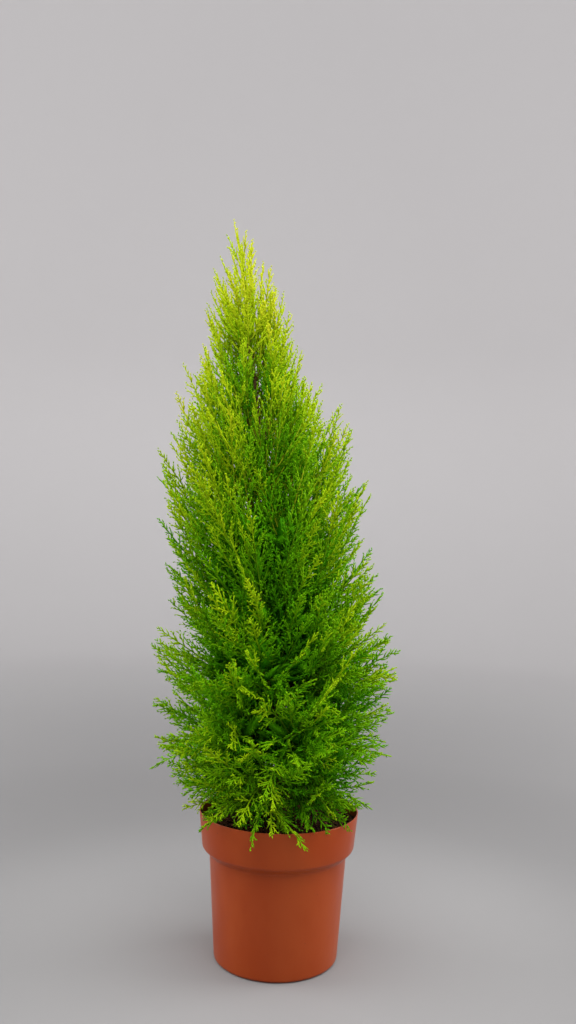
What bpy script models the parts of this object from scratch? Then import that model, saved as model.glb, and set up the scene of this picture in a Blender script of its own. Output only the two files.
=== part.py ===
"""A potted lemon cypress: a nursery pot with its compost, a leaning trunk, sixteen boughs and 39 masses
of foliage that ring the trunk, each in a space of its own.

Lengths are in metres and +Z is up. The origin is the middle of the pot's underside. The crown is laid out
in flow coordinates: a branch leaves the trunk at height u, runs out at azimuth phi, and climbs along its
own line as its distance r from the trunk grows. Lines of different u never cross, so a range of u and a
range of phi make a space that no other mass enters.
"""

import math
import random

import bmesh
import bpy
from mathutils import Vector

# Pot
POT_HEIGHT = 0.192
RIM_RADIUS = 0.1045
COLLAR_FOOT_RADIUS = 0.0998
COLLAR_FOOT_HEIGHT = 0.1460
SHOULDER_RADIUS = 0.0902
SHOULDER_HEIGHT = 0.1375
FOOT_RADIUS = 0.0812
FOOT_ROUND = 0.005
POT_WALL = 0.0018
POT_FLOOR = 0.0040
UNDERSIDE_RADIUS = 0.030
POT_STEPS = 41
DRAIN_HOLES = 6
DRAIN_RADIUS = 0.0055
DRAIN_CIRCLE = 0.046
DRAIN_SIDES = 12
DRAIN_TURN = 0.573

# Compost
COMPOST_EDGE = 0.1790
COMPOST_CROWN = 0.1830
COMPOST_FLAT_RADIUS = 0.022

# Fit between neighbouring pieces
GAP = 0.0003
MARGIN = 0.0004
RIM_CLEAR = 0.0022

# Trunk, as heights above the compost
TRUNK_START = Vector((0.003, 0.0, COMPOST_CROWN + GAP))
TRUNK_LEAN = -0.055
TRUNK_BOW = -0.055
TRUNK_TOP = 0.850
TRUNK_FOOT_RADIUS = 0.0072
TRUNK_TIP_RADIUS = 0.0012
FLARE_WIDTH = 0.0048
FLARE_HEIGHT = 0.014
TRUNK_SIDES = 9
TRUNK_RINGS = 16

# Crown: the radius of its outline, from the trunk's middle, at some heights
CROWN_HEIGHTS = (0.150, 0.185, 0.225, 0.280, 0.360, 0.420, 0.480, 0.600, 0.680, 0.740, 0.800, 0.860, 0.920, 0.975)
CROWN_RADII = (0.100, 0.128, 0.152, 0.166, 0.168, 0.153, 0.141, 0.137, 0.126, 0.099, 0.073, 0.054, 0.036, 0.010)
CROWN_TOP = 0.9745

# How branches climb: slope at the trunk and curl beyond it, from the lowest branch to the highest
LOWEST_BRANCH = 0.200
HIGHEST_BRANCH = 0.820
SLOPE_LOW = -0.06
SLOPE_HIGH = 2.20
SLOPE_POWER = 0.75
CURL_LOW = -1.2
CURL_HIGH = 5.0

# Tiers of masses, lowest first: the heights that bound them, and how many masses ring the trunk in each
TIER_BOUNDS = (0.203, 0.246, 0.300, 0.365, 0.440, 0.525, 0.620, 0.715, 0.800)
TIER_COUNTS = (6, 6, 6, 5, 5, 4, 3, 3)
TIER_TURN = 0.61
FIRST_TURN = 0.20
BOUGH_TIERS = (2, 3, 4)
BOUGH_SHARE = 0.24

# Stems, sprays and cores
STEM_RADIUS = 0.0024
STEM_TIP_RADIUS = 0.0010
STEM_SHARE = 0.78
STEM_SIDES = 3
STEM_RINGS = 4
BOUGH_RADIUS = 0.0031
BOUGH_TIP_RADIUS = 0.0025
BOUGH_SIDES = 6
BOUGH_RINGS = 4
SPRAYS_LOW = 7
SPRAYS_HIGH = 5
SPRAY_TEETH = 3
SPRAY_WIDTH = 0.27
SPRAY_THICKNESS = 0.0016
SPRAY_SUNK = 0.0025
SPRAY_START = 0.26
SPRAY_LAST_START = 0.72
SPRAY_LATEST_START = 0.68
SPRAY_ACROSS = (0.50, 0.85)
SPRAY_UP = (0.35, 0.85)
SPRAY_ROLL = 0.9
SPRAY_OPENING = 0.8
SPRAY_SHRINKS = (1.0, 0.9, 0.8, 0.7, 0.6, 0.5)
SPRAY_LEAVES_BOUGH = 0.0045
SPRAY_END_LOW = (0.90, 1.04, 1.07)
SPRAY_END_HIGH = (0.86, 1.00, 1.00)
SPRAY_SHORT_RIGHT = 0.07
CORE_START = 0.10
CORE_LEAVES_BOUGH = 0.006
CORE_END = 0.76
CORE_TIP = 0.88
CORE_RING_SHARES = (0.12, 0.42, 0.72, 1.0)
CORE_RING_SIZES = (0.90, 1.00, 1.00, 0.86)
CORE_CORNERS = 8
CORE_FILL = 0.985
CORE_SQUARE = 0.55
CORE_NOTCH = 0.86
CORE_FORWARD = 0.06
CORE_SHRINK = 0.97
CORE_TRIES = 60
CORE_ABOVE_RIM = 0.003
LEADER_SPRAYS = 8
LEADER_SPREAD = 0.024
LEADER_CORE = (0.017, 0.025, 0.017, 0.002)
LEADER_CORE_SHARES = (0.06, 0.28, 0.50, 0.68)
LEADER_STEM = (0.0014, 0.0012, 0.0009)
LEADER_STEM_SHARES = (0.0, 0.4, 0.75)
LEADER_TOP_LEAN = 0.006
LEADER_TURN = 0.382
LEADER_SPRAY_SHARES = (0.08, 0.50)
LEADER_TIP_SHARE = 0.60
LEADER_RISE = (0.036, 0.046)
LEADER_BOW = 0.25
SEED = 11

# Finishes: colour, roughness
FINISHES = {
    "pot": ((0.42, 0.105, 0.045), 0.42),
    "compost": ((0.035, 0.017, 0.010), 0.95),
    "bark": ((0.20, 0.085, 0.040), 0.85),
    "foliage": ((0.30, 0.46, 0.03), 0.60),
}


def finish(name):
    """The material of that name, made once."""
    found = bpy.data.materials.get(name)
    if found:
        return found
    colour, roughness = FINISHES[name]
    made = bpy.data.materials.new(name)
    made.use_nodes = True
    shader = made.node_tree.nodes["Principled BSDF"]
    shader.inputs["Base Color"].default_value = (*colour, 1.0)
    shader.inputs["Roughness"].default_value = roughness
    shader.inputs["Metallic"].default_value = 0.0
    return made


def clear_scene():
    """Removes every object that the file opened with."""
    for thing in list(bpy.data.objects):
        bpy.data.objects.remove(thing)


def add_mesh(name, points, faces, material):
    """An object from points and faces, in the scene."""
    mesh = bpy.data.meshes.new(name)
    mesh.from_pydata([tuple(p) for p in points], [], faces)
    mesh.materials.append(finish(material))
    made = bpy.data.objects.new(name, mesh)
    bpy.context.scene.collection.objects.link(made)
    return made


def add_turned(name, profile, steps, material):
    """A solid turned about Z from a profile of (radius, height) that starts and ends level on the axis.

    The level middle at either end is left as one face, so no edge runs through the axis.
    """
    shape = bmesh.new()
    points = [shape.verts.new((radius, 0.0, height)) for radius, height in profile]
    edges = [shape.edges.new(pair) for pair in zip(points, points[1:])]
    bmesh.ops.spin(shape, geom=points + edges, cent=(0, 0, 0), axis=(0, 0, 1), angle=math.tau, steps=steps)
    bmesh.ops.remove_doubles(shape, verts=shape.verts, dist=1e-6)
    bmesh.ops.dissolve_verts(shape, verts=[v for v in shape.verts if v.co.xy.length < 1e-5])
    bmesh.ops.recalc_face_normals(shape, faces=shape.faces)
    mesh = bpy.data.meshes.new(name)
    shape.to_mesh(mesh)
    shape.free()
    mesh.materials.append(finish(material))
    made = bpy.data.objects.new(name, mesh)
    bpy.context.scene.collection.objects.link(made)
    mesh.shade_smooth()
    mesh.set_sharp_from_angle(angle=math.radians(35))
    return made


def arc(centre, radius, start, end, count):
    """Points of (radius, height) on an arc, angles in degrees from +X."""
    turn = [math.radians(start + (end - start) * i / (count - 1)) for i in range(count)]
    return [(centre[0] + radius * math.cos(a), centre[1] + radius * math.sin(a)) for a in turn]


def outer_radius(height):
    """The pot's outside radius at a height."""
    if height >= COLLAR_FOOT_HEIGHT:
        share = (height - COLLAR_FOOT_HEIGHT) / (POT_HEIGHT - COLLAR_FOOT_HEIGHT)
        return COLLAR_FOOT_RADIUS + share * (RIM_RADIUS - COLLAR_FOOT_RADIUS)
    if height >= SHOULDER_HEIGHT:
        share = (height - SHOULDER_HEIGHT) / (COLLAR_FOOT_HEIGHT - SHOULDER_HEIGHT)
        return SHOULDER_RADIUS + share * (COLLAR_FOOT_RADIUS - SHOULDER_RADIUS)
    return FOOT_RADIUS + height / SHOULDER_HEIGHT * (SHOULDER_RADIUS - FOOT_RADIUS)


def inner_radius(height):
    """The pot's inside radius at a height."""
    return outer_radius(height) - POT_WALL


def build_pot():
    """The pot: a thin wall with a deep collar, a round lip, a flat underside and drain holes."""
    lip = POT_WALL / 2
    outside = [(0.0, 0.0), (UNDERSIDE_RADIUS, 0.0)]
    outside += arc((FOOT_RADIUS - FOOT_ROUND, FOOT_ROUND), FOOT_ROUND, -90, 0, 4)
    outside += [(SHOULDER_RADIUS, SHOULDER_HEIGHT), (COLLAR_FOOT_RADIUS, COLLAR_FOOT_HEIGHT)]
    outside += arc((RIM_RADIUS - lip, POT_HEIGHT - lip), lip, 0, 180, 5)
    inside = [(inner_radius(h), h) for h in (COLLAR_FOOT_HEIGHT, SHOULDER_HEIGHT, POT_FLOOR)]
    inside += [(UNDERSIDE_RADIUS, POT_FLOOR), (0.0, POT_FLOOR)]
    pot = add_turned("pot", outside + inside, POT_STEPS, "pot")
    for i in range(DRAIN_HOLES):
        turn = math.tau * i / DRAIN_HOLES + DRAIN_TURN
        place = (DRAIN_CIRCLE * math.cos(turn), DRAIN_CIRCLE * math.sin(turn), 0.0)
        bpy.ops.mesh.primitive_cylinder_add(
            vertices=DRAIN_SIDES,
            radius=DRAIN_RADIUS,
            depth=4 * POT_FLOOR,
            location=place,
            rotation=(0, 0, turn / 3),
        )
        cutter = bpy.context.object
        cutter.name = f"drain_cutter_{i + 1}"
        cutter.hide_render = True
        cutter.display_type = "WIRE"
        cut = pot.modifiers.new(f"drain_{i + 1}", "BOOLEAN")
        cut.operation = "DIFFERENCE"
        cut.object = cutter


def build_compost():
    """The compost that fills the pot, clear of its wall and floor, with a low mound round the trunk."""
    floor = POT_FLOOR + GAP
    walls = [(inner_radius(h) - GAP, h) for h in (floor, SHOULDER_HEIGHT, COLLAR_FOOT_HEIGHT, COMPOST_EDGE)]
    slope = [(0.6 * RIM_RADIUS, 0.4 * COMPOST_EDGE + 0.6 * COMPOST_CROWN), (COMPOST_FLAT_RADIUS, COMPOST_CROWN)]
    profile = [(0.0, floor)] + walls + slope + [(0.0, COMPOST_CROWN)]
    add_turned("compost", profile, POT_STEPS, "compost")


def trunk_centre(z):
    """The middle of the trunk at height z: it leans to -X and bows further over as it rises."""
    rise = z - TRUNK_START.z
    return Vector((TRUNK_START.x + TRUNK_LEAN * rise + TRUNK_BOW * rise * rise, 0.0, z))


def trunk_radius(z):
    """The trunk's radius at height z: an even taper, with a flare at the foot."""
    rise = max(z - TRUNK_START.z, 0.0)
    share = min(rise / (TRUNK_TOP - TRUNK_START.z), 1.0)
    taper = TRUNK_FOOT_RADIUS + share * (TRUNK_TIP_RADIUS - TRUNK_FOOT_RADIUS)
    return taper + FLARE_WIDTH * math.exp(-rise / FLARE_HEIGHT)


def interpolate(value, places, levels):
    """The level at a value, along straight runs between the given places."""
    if value <= places[0]:
        return levels[0]
    for i in range(1, len(places)):
        if value <= places[i]:
            share = (value - places[i - 1]) / (places[i] - places[i - 1])
            return levels[i - 1] + share * (levels[i] - levels[i - 1])
    return levels[-1]


def crown_radius(z):
    """How far the crown's outline lies from the trunk's middle at height z."""
    return interpolate(z, CROWN_HEIGHTS, CROWN_RADII)


def flow_height(u, r):
    """The height of the branch line that leaves the trunk at u, at distance r from the trunk."""
    share = min(max((u - LOWEST_BRANCH) / (HIGHEST_BRANCH - LOWEST_BRANCH), 0.0), 1.2)
    slope = SLOPE_LOW + (SLOPE_HIGH - SLOPE_LOW) * share**SLOPE_POWER
    curl = CURL_LOW + (CURL_HIGH - CURL_LOW) * share
    return u + slope * r + curl * r * r


def flow_point(u, phi, r):
    """The place of flow coordinates (u, phi, r)."""
    z = flow_height(u, r)
    return trunk_centre(z) + Vector((r * math.cos(phi), r * math.sin(phi), 0.0))


def flow_coordinates(point):
    """The flow coordinates (u, phi, r) of a place: u by halving, since height rises with u at any r."""
    out = point - trunk_centre(point.z)
    r = math.hypot(out.x, out.y)
    low, high = LOWEST_BRANCH - 0.2, HIGHEST_BRANCH + 0.3
    for _ in range(24):
        middle = (low + high) / 2
        if flow_height(middle, r) < point.z:
            low = middle
        else:
            high = middle
    return low, math.atan2(out.y, out.x), r


def reach_of(u, share):
    """How far out the branch line of u runs before it meets the outline, scaled by share."""
    low, high = 0.0, 0.25
    for _ in range(24):
        middle = (low + high) / 2
        if middle < share * crown_radius(flow_height(u, middle)):
            low = middle
        else:
            high = middle
    return low


class Cell:
    """The space of one mass: a range of u, a sector of phi, and the reach of its branch."""

    def __init__(self, tier, index):
        self.name = f"{tier + 1}_{index + 1}"
        self.tier = tier
        self.low, self.high = TIER_BOUNDS[tier], TIER_BOUNDS[tier + 1]
        self.half = math.pi / TIER_COUNTS[tier]
        self.rule = random.Random(SEED + 100 * tier + index)
        self.phi = FIRST_TURN + TIER_TURN * tier + 2 * self.half * index
        self.u = self.low + (self.high - self.low) * self.rule.uniform(0.42, 0.58)
        self.reach = reach_of(self.u, self.rule.uniform(0.93, 1.02))
        self.reach = min(self.reach, reach_of(self.high, 1.02))

    def at(self, across, up, r):
        """A place in the cell: across and up run from -1 to 1 between its sides."""
        half_up = (self.high - self.low) / 2
        middle = (self.low + self.high) / 2
        room = max(self.half - MARGIN / max(r, 1e-4), 0.0)
        return flow_point(middle + up * (half_up - MARGIN), self.phi + across * room, r)

    def up_share(self):
        """Where the stem's u lies between the cell's bounds, from -1 to 1."""
        return (2 * self.u - self.low - self.high) / (self.high - self.low)

    def stem(self, r):
        """A place on the cell's own branch line."""
        return flow_point(self.u, self.phi, r)

    def bough_end(self):
        """How far from the trunk its bough ends, or where its stem starts if it has none."""
        start = trunk_radius(self.u) + GAP
        return blend(start, self.reach, BOUGH_SHARE) if self.tier in BOUGH_TIERS else start

    def holds(self, point):
        """Whether a place lies inside the cell and clear of its limb, the pot and the compost."""
        u, phi, r = flow_coordinates(point)
        turned = (phi - self.phi + math.pi) % math.tau - math.pi
        inside = self.low + MARGIN < u < self.high - MARGIN
        inside = inside and abs(turned) * r < self.half * r - MARGIN
        clear = r > trunk_radius(point.z) + GAP
        if self.tier in BOUGH_TIERS:
            clear = r > self.bough_end() + SPRAY_LEAVES_BOUGH
        return inside and clear and clear_of_pot(point)

    def holds_core(self, point):
        """Whether a place of the core is in the cell and, for the lowest tier, above the pot's rim."""
        return self.holds(point) and above_rim(point)


def above_rim(point):
    """Whether a place is higher than the pot, or well outside it and not far below its rim."""
    if math.hypot(point.x, point.y) > RIM_RADIUS + 3 * CORE_ABOVE_RIM:
        return point.z > POT_HEIGHT - 3 * CORE_ABOVE_RIM
    return point.z > POT_HEIGHT + CORE_ABOVE_RIM


def clear_of_pot(point):
    """Whether a place is above the compost and the rim, or outside the pot."""
    out = math.hypot(point.x, point.y)
    if out > RIM_RADIUS + RIM_CLEAR:
        return point.z > SHOULDER_HEIGHT
    if out > RIM_RADIUS - POT_WALL - 2 * RIM_CLEAR:
        return point.z > POT_HEIGHT + RIM_CLEAR
    return point.z > COMPOST_CROWN + RIM_CLEAR


def outward_faces(made):
    """Turns every face of a closed mesh outwards."""
    shape = bmesh.new()
    shape.from_mesh(made.data)
    bmesh.ops.recalc_face_normals(shape, faces=shape.faces)
    shape.to_mesh(made.data)
    shape.free()


def across_axes(direction):
    """Two unit vectors square to a direction: one level, the other as near to up as it can be."""
    level = Vector((0, 0, 1)).cross(direction)
    if level.length < 1e-6:
        level = Vector((1, 0, 0))
    level.normalize()
    return level, direction.cross(level).normalized()


def tube(path, radii, sides):
    """Points and faces of a closed tube along a path, with the given radius at each place."""
    points, faces = [], []
    for i, place in enumerate(path):
        ahead = path[min(i + 1, len(path) - 1)] - path[max(i - 1, 0)]
        level, rising = across_axes(ahead.normalized())
        for k in range(sides):
            turn = math.tau * k / sides
            points.append(place + (level * math.cos(turn) + rising * math.sin(turn)) * radii[i])
    for i in range(len(path) - 1):
        for k in range(sides):
            a, b = i * sides + k, i * sides + (k + 1) % sides
            faces.append((a, b, b + sides, a + sides))
    last = (len(path) - 1) * sides
    faces.append(tuple(reversed(range(sides))))
    faces.append(tuple(last + k for k in range(sides)))
    return points, faces


def seat_on_trunk(points, sides, direction, phi):
    """Slides a tube's first ring along its direction onto the flat that lies GAP clear of the trunk at phi."""
    facing = Vector((math.cos(phi), math.sin(phi), 0.0))
    for k in range(sides):
        for _ in range(12):
            out = points[k] - trunk_centre(points[k].z)
            short = trunk_radius(points[k].z) + GAP - out.dot(facing)
            points[k] = points[k] + direction * (short / max(direction.dot(facing), 0.2))


def blend(start, end, share):
    """The value a share of the way from start to end."""
    return start + (end - start) * share


def build_trunk():
    """The trunk: one whole tapering stem with a flared foot, cut flat where it leaves the compost."""
    rise = TRUNK_TOP - TRUNK_START.z
    heights = [TRUNK_START.z + rise * (i / (TRUNK_RINGS - 1)) ** 1.6 for i in range(TRUNK_RINGS)]
    points, faces = [], []
    for z in heights:
        for k in range(TRUNK_SIDES):
            turn = math.tau * k / TRUNK_SIDES
            points.append(trunk_centre(z) + Vector((math.cos(turn), math.sin(turn), 0)) * trunk_radius(z))
    for i in range(TRUNK_RINGS - 1):
        for k in range(TRUNK_SIDES):
            a, b = i * TRUNK_SIDES + k, i * TRUNK_SIDES + (k + 1) % TRUNK_SIDES
            faces.append((a, b, b + TRUNK_SIDES, a + TRUNK_SIDES))
    last = (TRUNK_RINGS - 1) * TRUNK_SIDES
    faces += [tuple(reversed(range(TRUNK_SIDES))), tuple(last + k for k in range(TRUNK_SIDES))]
    add_mesh("trunk", points, faces, "bark")


def limb_path(cell, start, end, rings):
    """Places along a cell's branch line from distance start to distance end."""
    return [cell.stem(blend(start, end, i / (rings - 1))) for i in range(rings)]


def build_bough(cell):
    """One tapering limb from the trunk to where the cell's mass begins."""
    path = limb_path(cell, trunk_radius(cell.u) + GAP, cell.bough_end(), BOUGH_RINGS)
    radii = [blend(BOUGH_RADIUS, BOUGH_TIP_RADIUS, i / (BOUGH_RINGS - 1)) for i in range(BOUGH_RINGS)]
    points, faces = tube(path, radii, BOUGH_SIDES)
    seat_on_trunk(points, BOUGH_SIDES, (path[1] - path[0]).normalized(), cell.phi)
    add_mesh(f"bough_{cell.name}", points, faces, "bark")


def build_stem(cell):
    """The stem inside a mass, from its bough's tip or the trunk to STEM_SHARE of the reach."""
    start = cell.bough_end()
    clear = (cell.stem(start + GAP) - cell.stem(start)).length / GAP
    if cell.tier in BOUGH_TIERS:
        start += GAP / clear
    path = limb_path(cell, start, STEM_SHARE * cell.reach, STEM_RINGS)
    radii = [blend(STEM_RADIUS, STEM_TIP_RADIUS, i / (STEM_RINGS - 1)) for i in range(STEM_RINGS)]
    points, faces = tube(path, radii, STEM_SIDES)
    if cell.tier not in BOUGH_TIERS:
        seat_on_trunk(points, STEM_SIDES, (path[1] - path[0]).normalized(), cell.phi)
    return points, faces


def spray(axis, face, width, thickness):
    """A spray as a toothed blade: axis is its middle line, root to tip, and face the way its flat side looks.

    Each run between two places on the axis carries one tooth on either side, which points forward.
    """
    count = len(axis)
    points, faces = [axis[0], axis[-1]], []
    root, tip = 0, 1
    tops, bottoms, notches, teeth = [root], [root], {-1: [root], 1: [root]}, {-1: [], 1: []}
    for i in range(1, count - 1):
        ahead = (axis[i + 1] - axis[i - 1]).normalized()
        side = ahead.cross(face).normalized()
        through = side.cross(ahead).normalized()
        slim = 1.0 - 0.6 * i / (count - 1)
        for ring, place in (
            (tops, axis[i] + through * thickness * slim),
            (bottoms, axis[i] - through * thickness * slim),
            (notches[-1], axis[i] - side * thickness * 0.8 * slim),
            (notches[1], axis[i] + side * thickness * 0.8 * slim),
        ):
            ring.append(len(points))
            points.append(place)
    for ring in (tops, bottoms, notches[-1], notches[1]):
        ring.append(tip)
    for i in range(count - 1):
        run = axis[i + 1] - axis[i]
        side = run.cross(face).normalized()
        grown = math.sin(math.pi * (0.22 + 0.70 * (i + 0.5) / (count - 1)))
        for hand in (-1, 1):
            reach = run * (0.80 + 0.10 * hand) + side * hand * width * grown
            teeth[hand].append(len(points))
            points.append(axis[i] + reach)
    for hand in (-1, 1):
        for ridge, turned in ((tops, hand < 0), (bottoms, hand > 0)):
            for i in range(count - 1):
                near, far = notches[hand][i], notches[hand][i + 1]
                tooth = teeth[hand][i]
                found = [(ridge[i], tooth, ridge[i + 1])]
                if ridge[i] != near:
                    found.append((ridge[i], near, tooth))
                if ridge[i + 1] != far:
                    found.append((ridge[i + 1], tooth, far))
                faces += [face_[::-1] if turned else face_ for face_ in found]
    return points, faces


def core_point(cell, ring, corner, size):
    """A corner of the core: corners stand out and reach forward by turns, and each ring is turned half a step."""
    standing = corner % 2 == 0
    turn = math.tau * (corner + 1 + 0.5 * (ring % 2)) / CORE_CORNERS
    across = math.copysign(abs(math.cos(turn)) ** CORE_SQUARE, math.cos(turn)) * CORE_FILL * size
    up = math.copysign(abs(math.sin(turn)) ** CORE_SQUARE, math.sin(turn)) * CORE_FILL * size
    begin = max(CORE_START * cell.reach, cell.bough_end() + CORE_LEAVES_BOUGH)
    r = blend(begin, CORE_END * cell.reach, CORE_RING_SHARES[ring])
    r += CORE_FORWARD * cell.reach if standing else 0.0
    notch = 1.0 if standing else CORE_NOTCH
    own = cell.up_share()
    return cell.at(across * notch, blend(own, up, min(size, 1.0) * notch), r)


def core_faces():
    """The triangles of the core: a fan at the root, bands between the rings and a fan at the tip."""
    n, rings = CORE_CORNERS, len(CORE_RING_SHARES)
    faces = [(0, 1 + (k + 1) % n, 1 + k) for k in range(n)]
    for i in range(rings - 1):
        for k in range(n):
            a, b = 1 + i * n + k, 1 + i * n + (k + 1) % n
            faces += [(a, b, b + n), (a, b + n, a + n)]
    last = 1 + (rings - 1) * n
    faces += [(last + k, last + (k + 1) % n, last + n) for k in range(n)]
    return faces


def core(cell):
    """The dense heart of a mass: a plume of notched rings round the stem, smaller than the cell.

    It is drawn first at its full size. Each corner of a triangle that leaves the cell is then drawn in a
    little towards the stem, again and again, until the cell holds the whole core.
    """
    faces = core_faces()
    rings = len(CORE_RING_SHARES)
    sizes = [CORE_RING_SIZES[i] for i in range(rings) for _ in range(CORE_CORNERS)]
    begin = max(CORE_START * cell.reach, cell.bough_end() + CORE_LEAVES_BOUGH)
    ends = [cell.stem(begin), cell.stem(CORE_TIP * cell.reach)]
    for _ in range(CORE_TRIES):
        ring_points = [core_point(cell, j // CORE_CORNERS, j % CORE_CORNERS, sizes[j]) for j in range(len(sizes))]
        points = ends[:1] + ring_points + ends[1:]
        outside = set()
        for face in faces:
            a, b, c = (points[j] for j in face)
            if not all(cell.holds_core(p) for p in (a, b, c, (a + b) / 2, (b + c) / 2, (a + b + c) / 3)):
                outside.update(face)
        if not outside - {0, len(points) - 1}:
            break
        for j in outside - {0, len(points) - 1}:
            sizes[j - 1] *= CORE_SHRINK
    return points, faces


def spray_axis(cell, start, across, up, length):
    """The middle line of a spray that leaves the stem at distance start, and fans to across and up."""
    places = []
    own = cell.up_share()
    for i in range(SPRAY_TEETH + 1):
        share = i / SPRAY_TEETH
        opened = share**SPRAY_OPENING
        r = start + length * share
        places.append(cell.at(across * opened, blend(own, up, opened), r))
    sunk = (places[0] - places[1]).normalized() * SPRAY_SUNK
    places[0] = cell.stem(start) + sunk * 0.3
    return places


def fits(cell, points, faces):
    """Whether the cell holds a spray, all but its sunk root: its corners and the middles of edges and faces."""
    spots = list(points[1:])
    for a, b, c in faces:
        if 0 in (a, b, c):
            continue
        p, q, s = points[a], points[b], points[c]
        spots += [(p + q) / 2, (q + s) / 2, (s + p) / 2, (p + q + s) / 3]
    return all(cell.holds(p) for p in spots)


def sprays(cell):
    """The sprays of a mass: one ends the stem, the others leave it by turns to its left and right.

    A spray that doesn't fit its cell is made narrower and shorter, and is left out if it still doesn't.
    """
    found = []
    high = cell.tier / (len(TIER_COUNTS) - 1)
    count = round(blend(SPRAYS_LOW, SPRAYS_HIGH, high))
    first = max(SPRAY_START, (cell.bough_end() + SPRAY_LEAVES_BOUGH) / cell.reach + 0.02)
    least, most, furthest = (blend(low, top, high) for low, top in zip(SPRAY_END_LOW, SPRAY_END_HIGH))
    short = 1.0 - SPRAY_SHORT_RIGHT * max(math.cos(cell.phi), 0.0)
    for i in range(count):
        last = i == count - 1
        start = SPRAY_LAST_START if last else blend(first, SPRAY_LATEST_START, i / (count - 2))
        across = 0.0 if last else (1 if i % 2 else -1) * cell.rule.uniform(*SPRAY_ACROSS)
        up = cell.up_share() if last else (1 if i // 2 % 2 else -1) * cell.rule.uniform(*SPRAY_UP)
        roll = cell.rule.uniform(-SPRAY_ROLL, SPRAY_ROLL)
        end = (furthest if last else cell.rule.uniform(least, most)) * short
        for shrink in SPRAY_SHRINKS:
            length = (end - start) * (0.5 + 0.5 * shrink) * cell.reach
            axis = spray_axis(cell, start * cell.reach, across * shrink, up * shrink, length)
            level, rising = across_axes((axis[-1] - axis[0]).normalized())
            face = (rising * math.cos(roll) + level * math.sin(roll)).normalized()
            points, faces = spray(axis, face, SPRAY_WIDTH * length * shrink, SPRAY_THICKNESS)
            if fits(cell, points, faces):
                found.append((points, faces))
                break
    return found


def keep_largest(made):
    """Drops every loose scrap and every sealed hollow of a fused mesh, leaving its one main body."""
    shape = bmesh.new()
    shape.from_mesh(made.data)
    left, groups = set(shape.verts), []
    while left:
        group, edge = set(), [left.pop()]
        while edge:
            corner = edge.pop()
            group.add(corner)
            for line in corner.link_edges:
                other = line.other_vert(corner)
                if other in left:
                    left.discard(other)
                    edge.append(other)
        groups.append(group)
    groups.sort(key=len)
    for group in groups[:-1]:
        bmesh.ops.delete(shape, geom=list(group), context="VERTS")
    shape.to_mesh(made.data)
    shape.free()


def fuse(name, shapes):
    """One closed body from several overlapping ones, by one Boolean union on a collection."""
    made = add_mesh(name, *shapes[0], "foliage")
    outward_faces(made)
    others = bpy.data.collections.new(f"{name}_parts")
    for i, shape in enumerate(shapes[1:]):
        other = add_mesh(f"{name}_part_{i}", *shape, "foliage")
        outward_faces(other)
        bpy.context.scene.collection.objects.unlink(other)
        others.objects.link(other)
    join = made.modifiers.new("join", "BOOLEAN")
    join.operation = "UNION"
    join.solver = "EXACT"
    join.operand_type = "COLLECTION"
    join.collection = others
    graph = bpy.context.evaluated_depsgraph_get()
    fused = bpy.data.meshes.new_from_object(made.evaluated_get(graph))
    made.modifiers.clear()
    made.data = fused
    for other in list(others.objects):
        bpy.data.objects.remove(other)
    bpy.data.collections.remove(others)
    keep_largest(made)
    return made


def build_mass(cell):
    """One mass of foliage: its stem, its heart and its sprays, fused."""
    fuse(f"foliage_{cell.name}", [core(cell), build_stem(cell)] + sprays(cell))


def build_leader():
    """The mass at the top: the leading shoot above the trunk's tip, its heart, and upright sprays round it."""
    rule = random.Random(SEED)
    foot = trunk_centre(TRUNK_TOP + GAP)
    top = trunk_centre(CROWN_TOP) - Vector((LEADER_TOP_LEAN, 0.0, 0.0))
    path = [foot.lerp(top, share) for share in LEADER_STEM_SHARES]
    stem, stem_faces = tube(path, LEADER_STEM, STEM_SIDES)
    for k in range(STEM_SIDES):
        stem[k].z = foot.z
    heart = [foot.lerp(top, share) for share in LEADER_CORE_SHARES]
    shapes = [(stem, stem_faces), tube(heart, LEADER_CORE, CORE_CORNERS)]
    for i in range(LEADER_SPRAYS):
        turn = math.tau * LEADER_TURN * i
        share = LEADER_TIP_SHARE if i == 0 else blend(*LEADER_SPRAY_SHARES, i / LEADER_SPRAYS)
        start = foot.lerp(top, share)
        spread = 0.0 if i == 0 else LEADER_SPREAD * rule.uniform(0.75, 1.1) * (1.15 - share)
        out = Vector((math.cos(turn), math.sin(turn), 0)) * spread
        rise = top.z - start.z if i == 0 else rule.uniform(*LEADER_RISE)
        end = start + (top - foot).normalized() * rise + out
        axis = [start.lerp(end, k / SPRAY_TEETH) for k in range(SPRAY_TEETH + 1)]
        for k in range(1, SPRAY_TEETH):
            axis[k] = axis[k] + out * LEADER_BOW * math.sin(math.pi * k / SPRAY_TEETH)
        face = Vector((math.cos(turn + 0.6), math.sin(turn + 0.6), 0.2)).normalized()
        shapes.append(spray(axis, face, SPRAY_WIDTH * rise, 0.8 * SPRAY_THICKNESS))
    fuse("foliage_leader", shapes)


def main():
    clear_scene()
    build_pot()
    build_compost()
    build_trunk()
    for tier, count in enumerate(TIER_COUNTS):
        for index in range(count):
            cell = Cell(tier, index)
            if tier in BOUGH_TIERS:
                build_bough(cell)
            build_mass(cell)
    build_leader()


main()
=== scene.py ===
"""A potted lemon cypress about a metre tall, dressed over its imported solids.

The crown grows by the same rule as the solids: a mass has one stem, the stem carries twigs, the twigs carry
sprays, and the sprays carry shoots. Places in the crown are flow coordinates: a branch line leaves the trunk
at height u, runs out at azimuth phi and climbs as its distance r from the trunk grows.
Lengths are metres, +Z is up, and the origin is the middle of the pot's underside.
"""

import logging
import math
import random
from dataclasses import dataclass, field, replace
from enum import Enum

import bmesh
import bpy
import numpy as np
from mathutils import Matrix, Vector


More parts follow.
